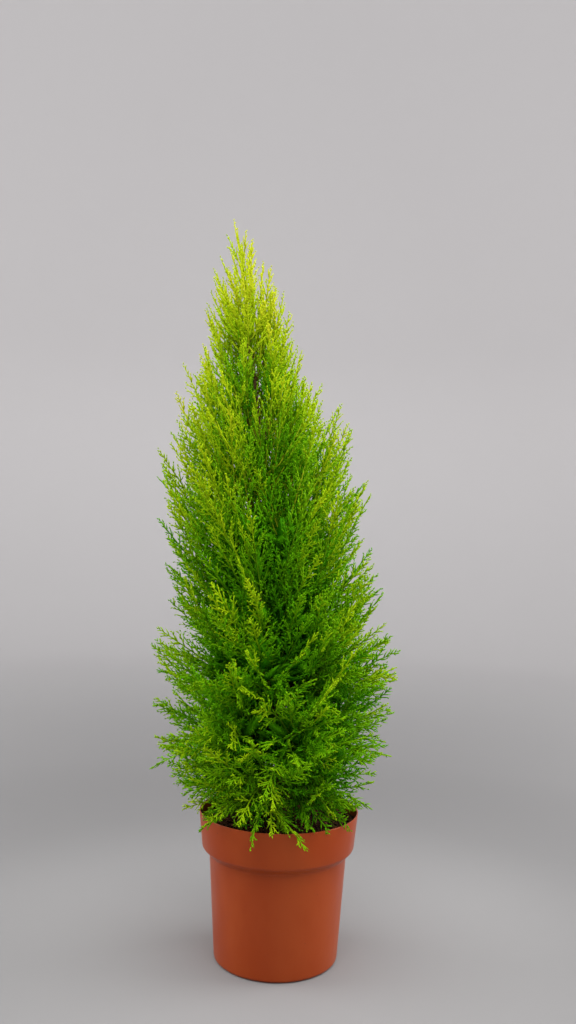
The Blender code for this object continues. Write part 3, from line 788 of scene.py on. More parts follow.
@dataclass
class Compost:
    """The compost: a rough mound inside the pot, with loose crumbs and pale fibres on it."""

    shape: PotShape = field(default_factory=PotShape)
    finish: CompostFinish = field(default_factory=CompostFinish)
    sides: int = 220
    rings: int = 70
    ring_crowding: float = 0.8
    knee: Pair = (0.60, 0.60)
    roughness: float = 0.0016
    bumps: float = 0.35
    sink: float = 0.4
    wall_room: float = 0.004
    crumbs: int = 2600
    crumb_size: Pair = (0.0009, 0.0031)
    crumb_power: float = 2.5
    crumb_push: Pair = (0.60, 1.25)
    crumb_flat: float = 0.75
    crumb_tones: tuple[tuple[str, float], ...] = (("crumb_dark", 1.2), ("crumb_pale", 2.2))
    fibres: int = 420
    fibre_length: Pair = (0.004, 0.016)
    fibre_tilt: Pair = (-0.05, 0.22)
    fibre_radii: tuple[float, ...] = (0.0004, 0.0005, 0.0)
    fibre_lift: float = 0.0008
    fibre_arch: float = 0.0006
    fibre_girth: Pair = (0.6, 1.3)
    fibre_tone: tuple[str, float] = ("fibre_pale", 4.0)
    seed: int = 5

    def level(self, r: Array) -> Array:
        """The mound's height by straight runs: flat in the middle, down to a knee, then down to the wall.

        Args:
            r: Distances from the axis.

        Returns:
            The height at each.
        """
        s, (out, share) = self.shape, self.knee
        knee = (1 - share) * s.compost_edge + share * s.compost_crown
        places = (0.0, s.compost_flat, out * s.rim_radius, s.outer(s.compost_edge) - s.wall - s.gap)
        return np.interp(r, places, (s.compost_crown, s.compost_crown, knee, s.compost_edge))

    def build(self) -> list[bpy.types.Object]:
        """Makes the mound, whose top is its level plus ripples, and the crumbs and fibres on it.

        Returns:
            The three pieces.
        """
        s = self.shape
        angle = even_angles(self.sides)
        base = s.floor + s.gap
        walls = np.array([base, s.shoulder_height, s.collar_foot_height, s.compost_edge - 2 * self.roughness])
        wall_radius = s.outer(walls) - s.wall - s.gap
        top_radius = np.linspace(1.0, 0.0, self.rings) ** self.ring_crowding * wall_radius[-1]
        radius = np.concatenate([[0.0], wall_radius, top_radius])[:, None] * np.ones(self.sides)
        x, y = top_radius[:, None] * np.cos(angle), top_radius[:, None] * np.sin(angle)
        bumps = ripples(x * 60, y, 9, 6, 160.0, 3) + 0.7 * ripples(y * 130, x, 9, 6, 420.0, 4)
        top = self.level(top_radius)[:, None] + self.roughness * (self.bumps * bumps - self.sink)
        height = np.concatenate([np.array([base, *walls])[:, None] * np.ones(self.sides), top])
        mound = make_piece("compost_dressed", turned(radius, height), [self.finish.make()])
        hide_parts("compost")
        return [mound, self.scatter_crumbs(), self.scatter_fibres()]

    def spots(self, rng: np.random.Generator, count: int) -> Array:
        """Places spread evenly over the compost: each at edge * sqrt(chance) from the axis.

        Args:
            rng: Draws the places.
            count: How many there are.

        Returns:
            Points on the mound, short of the wall, shaped (count, 3).
        """
        edge = self.shape.outer(self.shape.compost_edge) - self.shape.wall - self.wall_room
        r, turn = edge * np.sqrt(rng.uniform(0, 1, count)), rng.uniform(0, math.tau, count)
        return np.stack([r * np.cos(turn), r * np.sin(turn), self.level(r)], -1)

    def scatter_crumbs(self) -> bpy.types.Object:
        """Loose crumbs: six-cornered lumps, each corner pushed in or out by chance.

        Returns:
            The crumbs, joined into one piece.
        """
        rng = np.random.default_rng(self.seed)
        spots = self.spots(rng, self.crumbs)
        size = blend(*self.crumb_size, rng.uniform(0, 1, self.crumbs) ** self.crumb_power)
        corners = np.array([[1, 0, 0], [0, 1, 0], [-1, 0, 0], [0, -1, 0], [0, 0, 1], [0, 0, -1]], float)
        push = rng.uniform(*self.crumb_push, (self.crumbs, 6, 1))
        turn = rng.uniform(0, math.tau, self.crumbs)
        lumps = corners * push * size[:, None, None]
        cos, sin = np.cos(turn)[:, None], np.sin(turn)[:, None]
        x, y = lumps[..., 0] * cos - lumps[..., 1] * sin, lumps[..., 0] * sin + lumps[..., 1] * cos
        points = np.stack([x, y, self.crumb_flat * lumps[..., 2]], -1) + spots[:, None]
        near, follow, same = np.arange(4), (np.arange(4) + 1) % 4, np.ones(4, int)
        upper, lower = np.stack([near, follow, 4 * same], 1), np.stack([follow, near, 5 * same], 1)
        one = np.concatenate([upper, lower])
        triangles = (one[None] + 6 * np.arange(self.crumbs)[:, None, None]).reshape(-1, 3)
        shell = Shell(points.reshape(-1, 3), triangles, np.repeat(rng.integers(0, 2, self.crumbs), 8))
        finishes = [self.finish.make(*tone) for tone in self.crumb_tones]
        return make_piece("compost_crumbs", shell, finishes)

    def scatter_fibres(self) -> bpy.types.Object:
        """Pale fibres and bits of twig that lie on the compost, each arched a little in its middle.

        Returns:
            The fibres, joined into one piece.
        """
        rng = np.random.default_rng(self.seed + 1)
        spots = self.spots(rng, self.fibres) + np.array([0, 0, self.fibre_lift])
        turn, length = rng.uniform(0, math.tau, self.fibres), rng.uniform(*self.fibre_length, self.fibres)
        run = np.stack([np.cos(turn), np.sin(turn), rng.uniform(*self.fibre_tilt, self.fibres)], -1)
        share = np.array([-0.5, 0.0, 0.5])
        paths = spots[:, None] + run[:, None] * (share[:, None] * length[:, None, None])
        paths[:, 1, 2] += self.fibre_arch
        reach = np.hypot(paths[..., 0], paths[..., 1]).max(1)
        edge = self.shape.outer(self.shape.compost_edge) - self.shape.wall - self.wall_room / 2
        paths = paths[reach < edge]
        radii = np.array(self.fibre_radii) * rng.uniform(*self.fibre_girth, (len(paths), 1))
        shell = tapers(paths, radii, 3, np.zeros(len(paths), int), rng)
        return make_piece("compost_fibres", shell, [self.finish.make(*self.fibre_tone)])


# Trunk, boughs and foliage


@dataclass
class Mass:
    """One mass of foliage: its space, its stem and its twigs. Its first draws are those of its solid."""

    crown: Crown
    layout: "CrownLayout"
    tier: int
    index: int

    def __post_init__(self) -> None:
        """Works out the space and the stem."""
        self.low, self.high = self.layout.bounds[self.tier], self.layout.bounds[self.tier + 1]
        self.half = math.pi / self.layout.counts[self.tier]
        rule = random.Random(self.layout.seed + 100 * self.tier + self.index)
        self.phi = self.layout.first_turn + self.layout.tier_turn * self.tier + 2 * self.half * self.index
        self.u = self.low + (self.high - self.low) * rule.uniform(*self.layout.stem_heights)
        reach = self.crown.reach_of(self.u, rule.uniform(*self.layout.stem_reaches))
        self.reach = float(min(reach, self.crown.reach_of(self.high, self.layout.stem_reaches[1])))

    @property
    def has_bough(self) -> bool:
        """Whether a bough carries the mass."""
        return self.tier in self.layout.bough_tiers

    def bough_end(self) -> float:
        """How far from the trunk the bough ends, or where the stem starts if it has none."""
        start = float(self.crown.trunk_radius(self.u)) + self.layout.gap
        return blend(start, self.reach, self.layout.bough_share) if self.has_bough else start

    def limb(self, start: float, end: float, places: int) -> Array:
        """Places on the mass's own branch line, from distance start to distance end."""
        r = np.linspace(start, end, places)
        return self.crown.place(np.full(places, self.u), np.full(places, self.phi), r)

    def hollow(self, u: Array, turn: Array) -> Array:
        """How much shorter twigs are where the crown's front falls open.

        It is depth * exp((cos(turn - middle) - 1) / width^2 - ((u - height) / tall)^4).

        Args:
            u: The height at which each twig's line leaves the trunk.
            turn: The way each twig points, in radians.

        Returns:
            The share that is taken off each.
        """
        p = self.layout
        across = (np.cos(turn - p.hollow_turn) - 1) / p.hollow_width**2
        return p.hollow_depth * np.exp(across - ((u - p.hollow_height) / p.hollow_tall) ** 4)

    def twig_paths(self, rng: np.random.Generator) -> Array:
        """The twigs' middle lines: each leaves the stem and fans to its own share of the space.

        At share s of its length a twig has u and phi blended from the stem's to its own by s to the power
        twig_fan, and r blended evenly from where it leaves the stem to where it ends. As tier_overlap and
        twig_spread are past 1, it may run in among its neighbours. Inner twigs end in the crown's heart,
        strays near or past its outline, and the rest in between. A twig then bends upwards by its bend times
        its length times s squared. Low twigs bend down, the more so in front, and the lowest inner ones hang
        as a skirt over the compost.

        Args:
            rng: Draws where each twig starts and ends.

        Returns:
            Points, shaped (twigs, twig_places, 3).
        """
        p = self.layout
        area = 2 * self.half * self.reach * (self.high - self.low)
        high = self.tier / (len(p.counts) - 1)
        count = max(int(round(area / blend(*p.twig_area, high))), p.least_twigs[self.tier])
        number = np.arange(count)
        across, up = (2 * ((step * number + rng.uniform(0, 1)) % 1.0) - 1 for step in EVEN_STEPS)
        target_u = (self.low + self.high) / 2 + up * (self.high - self.low) / 2 * p.tier_overlap
        kind = rng.uniform(0, 1, count)
        ends = rng.uniform(*blend(np.array(p.twig_end_low), np.array(p.twig_end_high), high), count)
        inner = p.skirt_share if self.tier == 0 else blend(*p.inner_share, high)
        ends = np.where(kind < inner, rng.uniform(*p.inner_end, count), ends)
        strays = rng.uniform(*blend(np.array(p.stray_end_low), np.array(p.stray_end_high), high), count)
        ends = np.where(kind > 1 - p.stray_share, strays, ends)
        ends *= 1 - p.right_short[self.tier] * max(math.cos(self.phi), 0.0) ** 2
        ends *= 1 - self.hollow(target_u, self.phi + across * self.half * p.twig_spread)
        end_r = self.crown.reach_of(target_u, ends)
        share = rng.uniform(0, 1, count) ** p.twig_start_power
        start_r = np.minimum(self.reach * blend(*p.twig_starts, share), end_r * p.twig_start_most)
        s = np.linspace(0, 1, p.twig_places)[None]
        opened = s**p.twig_fan
        u = blend(self.u, target_u[:, None], opened)
        phi = self.phi + across[:, None] * self.half * p.twig_spread * opened
        r = blend(start_r[:, None], end_r[:, None], s)
        paths = self.crown.place(u, phi, r)
        length = np.linalg.norm(paths[:, -1] - paths[:, 0], axis=-1)[:, None]
        bend = rng.uniform(*p.twig_bend, (count, 1))
        if self.tier < len(p.droop):
            front = blend(p.back_droop, 1.0, max(-math.sin(self.phi), 0.0))
            share = rng.uniform(0, 1, (count, 1)) ** p.droop_power
            bend = blend(p.foot_bend, p.droop[self.tier] * front, share)
        if self.tier == 0:
            bend = np.where((kind < p.skirt_share)[:, None], p.skirt * front, bend)
        paths[..., 2] += length * bend * s**2
        return p.pot.lifted(paths, p.rim_room)


@dataclass
class CrownLayout:
    """How the crown is divided into masses, and how twigs grow in each."""

    bounds: tuple[float, ...] = (0.203, 0.246, 0.300, 0.365, 0.440, 0.525, 0.620, 0.715, 0.800)
    counts: tuple[int, ...] = (6, 6, 6, 5, 5, 4, 3, 3)
    tier_turn: float = 0.61
    first_turn: float = 0.20
    bough_tiers: tuple[int, ...] = (2, 3, 4)
    bough_share: float = 0.24
    gap: float = 0.0003
    seed: int = 11
    stem_heights: Pair = (0.42, 0.58)
    stem_reaches: Pair = (0.93, 1.02)
    stem_share: float = 0.55
    stem_radius: float = 0.0024
    stem_tip_radius: float = 0.0010
    bough_radius: float = 0.0031
    bough_tip_radius: float = 0.0025
    twig_area: Pair = (0.00037, 0.00062)
    least_twigs: tuple[int, ...] = (32, 27, 26, 22, 20, 20, 18, 15)
    twig_starts: Pair = (0.06, 0.60)
    twig_start_power: float = 1.4
    twig_start_most: float = 0.66
    twig_end_low: Pair = (0.93, 1.03)
    twig_end_high: Pair = (0.76, 0.94)
    inner_share: Pair = (0.34, 0.28)
    inner_end: Pair = (0.22, 0.76)
    stray_share: float = 0.24
    stray_end_low: Pair = (0.98, 1.035)
    stray_end_high: Pair = (0.97, 1.11)
    right_short: tuple[float, ...] = (0.40, 0.11, 0.0, 0.0, 0.04, 0.13, 0.16, 0.08)
    hollow_turn: float = -1.45
    hollow_width: float = 0.165
    hollow_height: float = 0.455
    hollow_tall: float = 0.155
    hollow_depth: float = 0.58
    twig_places: int = 9
    twig_fan: float = 0.42
    twig_spread: float = 1.15
    tier_overlap: float = 1.35
    twig_bend: Pair = (0.0, 0.15)
    foot_bend: float = 0.26
    droop: Pair = (-0.42, -0.40)
    droop_power: float = 2.2
    back_droop: float = 0.35
    skirt: float = -0.48
    skirt_share: float = 0.50
    twig_radius: float = 0.0010
    twig_wood: float = 0.80
    twig_taper: Pair = (1.0, 0.45)
    lime_height: float = 0.62
    twig_room: float = 0.0025
    rim_room: float = 0.0055
    pot: PotShape = field(default_factory=PotShape)


@dataclass
class PlumeRule:
    """How a plume is built up: sprays along a twig, and shoots along a spray.

    Both stand by turns on either side of what carries them, at an even spacing counted back from its tip,
    and their length grows with that distance up to a most. Angles are in degrees, lengths in metres.
    """

    spray_spacing: Pair = (0.0088, 0.0074)
    spray_slots: int = 20
    spray_first: Pair = (0.008, 0.019)
    spray_ruffle: float = 0.42
    spray_angle: Pair = (44.0, 31.0)
    angle_chance: float = 5.0
    spray_chance: Pair = (0.80, 1.10)
    spray_least: float = 0.004
    spray_slope: Pair = (0.42, 0.28)
    spray_most: Pair = (0.048, 0.040)
    spray_lift: Pair = (0.0, 0.16)
    lift_chance: float = 0.07
    spray_forward: float = 0.22
    spray_limit: Pair = (1.045, 1.16)
    spray_room: float = 0.003
    spray_places: int = 4
    spray_radius: Pair = (0.00088, 0.00108)
    spray_taper: Pair = (1.1, 0.7)
    bare_share: float = 0.10
    leader_length: float = 0.058
    leader_most: float = 0.7
    leader_power: float = 1.5
    shoot_spacing: Pair = (0.0050, 0.0052)
    shoot_slots: int = 9
    shoot_first: float = 0.0030
    shoot_ruffle: float = 0.55
    shoot_angle: float = 42.0
    shoot_chance: Pair = (0.75, 1.12)
    shoot_least: float = 0.0022
    shoot_slope: Pair = (0.38, 0.12)
    shoot_most: Pair = (0.0120, 0.0046)
    shoot_forward: float = 0.20
    shoot_from: float = 0.05
    shoot_room: float = 0.0012
    shoot_radius: float = 0.00090
    shoot_girth: Pair = (0.85, 1.1)
    shoot_taper: tuple[float, ...] = (0.80, 1.10, 0.0)
    twig_mood: float = 0.72
    spray_mood: float = 0.22
    tip_light: float = 1.1
    tip_length: float = 0.085
    tip_middle: float = 0.4
    plume_turn: float = 1.3
    slot_shift: float = 0.22
    blades_per_twig: int = 4
    blade_share: float = 0.50
    blade_lean: Pair = (25.0, 65.0)
    blade_length: Pair = (0.046, 0.036)
    blade_chance: Pair = (0.7, 1.15)
    blade_width: float = 0.19
    blade_thickness: float = 0.0009
    blade_teeth: int = 7
    # Pushes the blades towards the darkest greens: partly the inner foliage's deeper green, partly painted
    # shade
    blade_painted_shade_mood: Pair = (-0.6, 0.5)
    blade_notch: float = 0.55
    blade_middle: float = 0.45
    blade_depth: float = 0.60
    blade_room: float = 0.003
    blade_heights: Pair = (0.245, 0.58)
    # The greens' levels: plain, by outline and height (partly painted shade and painted light), and by the
    # foot (painted fill light)
    green_levels: tuple[float, ...] = (0.25, 2.6, 4.2, 0.55)
    green_depth: Pair = (0.42, 0.92)
    green_top: Pair = (0.78, 0.88)
    green_rise: Pair = (0.25, 0.90)
    green_power: float = 2.2
    # Painted fill light: heights over which the inner greens near the crown's foot are made paler
    painted_fill_light_heights: Pair = (0.50, 0.35)
    painted_fill_light_fade: float = 0.7


@dataclass
class Foliage:
    """Grows the plumes of a set of twigs and deals out their greens."""

    crown: Crown
    rule: PlumeRule
    pot: PotShape
    rng: np.random.Generator

    def slots(self, lines: Array, first: float, spacing: float, count: int) -> tuple[Array, Array]:
        """Places counted back from the tips of lines: first + spacing * k, each moved a little by chance.

        Args:
            lines: Middle lines, shaped (n, k, 3).
            first: The distance of the first place from the tip.
            spacing: The distance from one place to the next.
            count: How many places each line is given.

        Returns:
            The distance of each place from the tip, and its share along the line, both shaped (n, count).
        """
        length = np.linalg.norm(np.diff(lines, axis=1), axis=-1).sum(1)[:, None]
        moved = self.rng.uniform(-self.rule.slot_shift, self.rule.slot_shift, (len(lines), count))
        back = first + spacing * (np.arange(count)[None] + moved)
        return back, 1 - back / length

    def side_lines(
        self, lines: Array, share: Array, length: Array, angle: Array, plane: Array, normal: Array,
        lift: Array, forward: float, places: int,
    ) -> tuple[Array, Array]:
        """Middle lines that leave others by turns to the left and right.

        At share q of its length a line lies at root + length * (direction * q + (ahead * forward +
        up * lift) * q * q). Its direction stands at an angle to the line that carries it, in a plane turned
        round that line.

        Args:
            lines: The lines that carry them, shaped (n, k, 3).
            share: Where each starts, shaped (n, m).
            length: How long each is, shaped (n, m).
            angle: How far each stands off, in radians, shaped (n, m).
            plane: How far its plane is turned from the one that normal stands on, in radians, shaped (n, m).
            normal: Stands on the plane that turns are counted from, shaped (n, 1, 3) or like one.
            lift: How far it curves upwards, as a share of its length, shaped (n, m).
            forward: How far it curves forward, as a share of its length.
            places: How many points each line gets.

        Returns:
            Points, shaped (n, m, places, 3), and what stands on the plane of each, shaped (n, m, 3).
        """
        root, ahead = along(lines, share)
        side, rising = square_axes(ahead, np.broadcast_to(normal, ahead.shape))
        hand = np.where(np.arange(share.shape[1]) % 2 == 0, 1.0, -1.0)[None, :, None]
        turn = plane[..., None]
        out = (side * np.cos(turn) + rising * np.sin(turn)) * hand
        direction = ahead * np.cos(angle)[..., None] + out * np.sin(angle)[..., None]
        q = np.linspace(0, 1, places)
        paths = root[:, :, None] + direction[:, :, None] * (length[..., None] * q)[..., None]
        paths += ahead[:, :, None] * (forward * length[..., None] * q**2)[..., None]
        paths[..., 2] += (length * lift)[..., None] * q**2
        return paths, rising * np.cos(turn) - side * np.sin(turn)

    def sprays(self, twigs: Array, plane: Array, high: float) -> tuple[Array, Array, Array]:
        """The middle lines of the sprays on twigs, and the number of the twig that each is on.

        Args:
            twigs: The twigs' middle lines.
            plane: How far each twig's plume is turned from level, in radians, shaped (n, 1).
            high: 0 for the lowest tier and 1 for the highest.

        Returns:
            Points, shaped (sprays, places, 3), what stands on their planes, and twig numbers.
        """
        p, rng = self.rule, self.rng
        first, spacing = blend(*p.spray_first, high), blend(*p.spray_spacing, high)
        back, share = self.slots(twigs, first, spacing, p.spray_slots)
        shape = back.shape
        length = np.minimum(blend(*p.spray_most, high), p.spray_least + blend(*p.spray_slope, high) * back)
        length = length * rng.uniform(*p.spray_chance, shape)
        angle = np.radians(blend(*p.spray_angle, high) + p.angle_chance * rng.normal(size=shape))
        turn = plane + rng.normal(0, p.spray_ruffle, shape)
        lift = blend(*p.spray_lift, high) + rng.normal(0, p.lift_chance, shape)
        up = np.array([0.0, 0.0, 1.0])
        lines, normal = self.side_lines(
            twigs, share, length, angle, turn, up, lift, p.spray_forward, p.spray_places
        )  # fmt: skip
        owner = np.broadcast_to(np.arange(shape[0])[:, None], shape)
        tip = lines[:, :, -1]
        inside = self.crown.distance(tip) < self.crown.outline(tip[..., 2]) * blend(*p.spray_limit, high)
        inside &= (tip[..., 2] < self.crown.top) & (share > p.bare_share)
        inside &= self.pot.clear(lines, p.spray_room).all(-1)
        return lines[inside], normal[inside], owner[inside]

    def leaders(self, twigs: Array, plane: Array) -> tuple[Array, Array]:
        """The last stretch of each twig, which carries shoots of its own. Its places crowd towards the tip.

        Args:
            twigs: The twigs' middle lines.
            plane: How far each twig's plume is turned from level, in radians, shaped (n, 1).

        Returns:
            Points, shaped (n, places, 3), and what stands on each plane, shaped (n, 3).
        """
        p = self.rule
        length = np.linalg.norm(np.diff(twigs, axis=1), axis=-1).sum(1)[:, None]
        back = np.linspace(1, 0, p.spray_places)[None] ** p.leader_power
        share = 1 - np.minimum(p.leader_length / length, p.leader_most) * back
        lines, ahead = along(twigs, share)
        side, rising = square_axes(ahead[:, 0], np.broadcast_to([0.0, 0.0, 1.0], ahead[:, 0].shape))
        return lines, rising * np.cos(plane) - side * np.sin(plane)

    def shoots(self, sprays: Array, normal: Array, high: float) -> tuple[Array, Array]:
        """The middle lines of the shoots on sprays, and the number of the spray that each is on.

        Args:
            sprays: The sprays' middle lines.
            normal: What stands on each spray's plane, shaped (n, 3).
            high: 0 for the lowest tier and 1 for the highest.

        Returns:
            Points, shaped (shoots, places, 3), and spray numbers.
        """
        p, rng = self.rule, self.rng
        back, share = self.slots(sprays, p.shoot_first, blend(*p.shoot_spacing, high), p.shoot_slots)
        shape = back.shape
        length = np.minimum(blend(*p.shoot_most, high), p.shoot_least + blend(*p.shoot_slope, high) * back)
        length = length * rng.uniform(*p.shoot_chance, shape)
        angle = np.radians(p.shoot_angle + p.angle_chance * rng.normal(size=shape))
        turn = rng.normal(0, p.shoot_ruffle, shape)
        lines, _ = self.side_lines(
            sprays, share, length, angle, turn, normal[:, None], np.zeros(shape), p.shoot_forward,
            len(p.shoot_taper),
        )  # fmt: skip
        owner = np.broadcast_to(np.arange(shape[0])[:, None], shape)
        kept = (share > p.shoot_from) & self.pot.clear(lines, p.shoot_room).all(-1)
        return lines[kept], owner[kept]

    def blades(self, twigs: Array, high: float) -> tuple[Array, Array]:
        """The older sprays inside the crown, as toothed blades: places and corners of a flat leaf outline.

        A blade's outline runs out to width * sin(pi * s^0.8) at share s of its length, with each second
        corner drawn in, and two corners in its middle, above and below, give it its thickness.

        Args:
            twigs: The twigs that carry them.
            high: 0 for the lowest tier and 1 for the highest.

        Returns:
            Corners, shaped (blades, corners, 3), and the triangles of one blade.
        """
        p, rng = self.rule, self.rng
        count = p.blades_per_twig
        share = rng.uniform(0.0, p.blade_share, (len(twigs), count))
        root, ahead = along(twigs, share)
        root, ahead = root.reshape(-1, 3), ahead.reshape(-1, 3)
        side, rising = square_axes(ahead, np.broadcast_to([0.0, 0.0, 1.0], ahead.shape))
        turn = rng.uniform(0, math.tau, (len(root), 1))
        lean = np.radians(rng.uniform(*p.blade_lean, (len(root), 1)))
        out = side * np.cos(turn) + rising * np.sin(turn)
        direction = ahead * np.cos(lean) + out * np.sin(lean)
        wide, thick = square_axes(direction, unit(rng.normal(size=direction.shape)))
        length = blend(*p.blade_length, high) * rng.uniform(*p.blade_chance, (len(root), 1))
        step = np.arange(1, 2 * p.blade_teeth + 1) / (2 * p.blade_teeth + 1)
        notch = np.where(np.arange(len(step)) % 2, 1.0, p.blade_notch)
        edge = p.blade_width * np.sin(math.pi * step**0.8) * notch
        run = np.concatenate([[0.0], step, [1.0], step[::-1], [p.blade_middle, p.blade_middle]])
        off = np.concatenate([[0.0], edge, [0.0], -edge[::-1], [0.0, 0.0]])
        deep = np.concatenate([np.zeros(len(run) - 2), [1.0, -1.0]]) * p.blade_thickness
        corners = root[:, None] + direction[:, None] * (length * run)[..., None]
        corners += wide[:, None] * (length * off)[..., None] + thick[:, None] * deep[None, :, None]
        rim = len(run) - 2
        near, follow = np.arange(rim), (np.arange(rim) + 1) % rim
        above = np.stack([follow, near, np.full(rim, rim)], 1)
        below = np.stack([near, follow, np.full(rim, rim + 1)], 1)
        kept = self.pot.clear(corners, p.blade_room).all(1)
        z = corners[..., 2]
        kept &= (self.crown.distance(corners) < p.blade_depth * self.crown.outline(z)).all(1)
        kept &= (z > p.blade_heights[0]).all(1) & (z < p.blade_heights[1]).all(1)
        return corners[kept], np.concatenate([above, below])

    def greens(self, tips: Array, mood: Array) -> Array:
        """Deals out the greens: brighter towards the outline, the top and the foot, darker in the heart.

        A green's level is the sum of green_levels, of which the first is plain and the others are weighted by
        how near the outline the tip is, how high it is, and how near the crown's foot. The outline and height
        terms are partly the foliage's own colour and partly painted light and shade: painted shade in the
        heart and painted light from above at the top. The foot term is painted fill light on the inner
        sprays.

        Args:
            tips: The tip of each spray.
            mood: What chance adds to each.

        Returns:
            The number of a green for each.
        """
        p, z = self.rule, tips[:, 2]
        # Darker in the heart and paler at the top: partly the foliage's own colour, partly painted shade and
        # painted light from above
        near = ramp(self.crown.distance(tips) / self.crown.outline(z), p.green_depth)
        near = np.maximum(near, ramp(z, p.green_top))
        # Painted fill light: sprays low in the crown are dealt paler greens, the more so the further in they
        # lie
        foot = ramp(z, p.painted_fill_light_heights) * (1 - p.painted_fill_light_fade * near)
        plain, outer, upper, lower = p.green_levels
        level = plain + outer * near + upper * ramp(z, p.green_rise) ** p.green_power + lower * foot + mood
        return np.clip(np.round(level), 0, len(GREENS) - 1).astype(int)

    def grow(self, twigs: Array, high: float) -> Shell:
        """All the green of a set of twigs: sprays with their shoots, and blades further in.

        Args:
            twigs: The twigs' middle lines.
            high: 0 for the lowest tier and 1 for the highest.

        Returns:
            One shell, grouped by the numbers of the greens.
        """
        p, rng = self.rule, self.rng
        mood = rng.normal(0, p.twig_mood, len(twigs))
        plane = rng.uniform(-p.plume_turn, p.plume_turn, (len(twigs), 1))
        sprays, normal, owner = self.sprays(twigs, plane, high)
        leaders, leader_normal = self.leaders(twigs, plane)
        sprays, normal = np.concatenate([sprays, leaders]), np.concatenate([normal, leader_normal])
        owner = np.concatenate([owner, np.arange(len(twigs))])
        gap = np.linalg.norm(sprays[:, 0] - twigs[owner, -1], axis=-1)
        near_tip = np.clip(1 - gap / p.tip_length, 0, 1)
        chance = mood[owner] + rng.normal(0, p.spray_mood, len(sprays))
        green = self.greens(sprays[:, -1], chance + p.tip_light * (near_tip - p.tip_middle))
        taper = np.append(np.linspace(*p.spray_taper, p.spray_places)[:-1], 0.0)
        radii = blend(*p.spray_radius, high) * taper * np.ones((len(sprays), 1))
        shoots, carrier = self.shoots(sprays, normal, high)
        girth = rng.uniform(*p.shoot_girth, (len(shoots), 1))
        shoot_radii = p.shoot_radius * girth * np.array(p.shoot_taper)
        blades, one = self.blades(twigs, high)
        corners = blades.shape[1]
        triangles = (one[None] + corners * np.arange(len(blades))[:, None, None]).reshape(-1, 3)
        # Painted shade: the blades inside the crown get only the two darkest greens, partly the inner
        # foliage's own green and partly a dark filling for the shade there
        dark = self.greens(blades[:, corners // 2], rng.normal(*p.blade_painted_shade_mood, len(blades)))
        return Shell.joined(
            [
                tapers(sprays, radii, 3, green, rng),
                tapers(shoots, shoot_radii, 3, green[carrier], rng),
                Shell(blades.reshape(-1, 3), triangles, np.repeat(np.minimum(dark, 1), len(one))),
            ]
        )


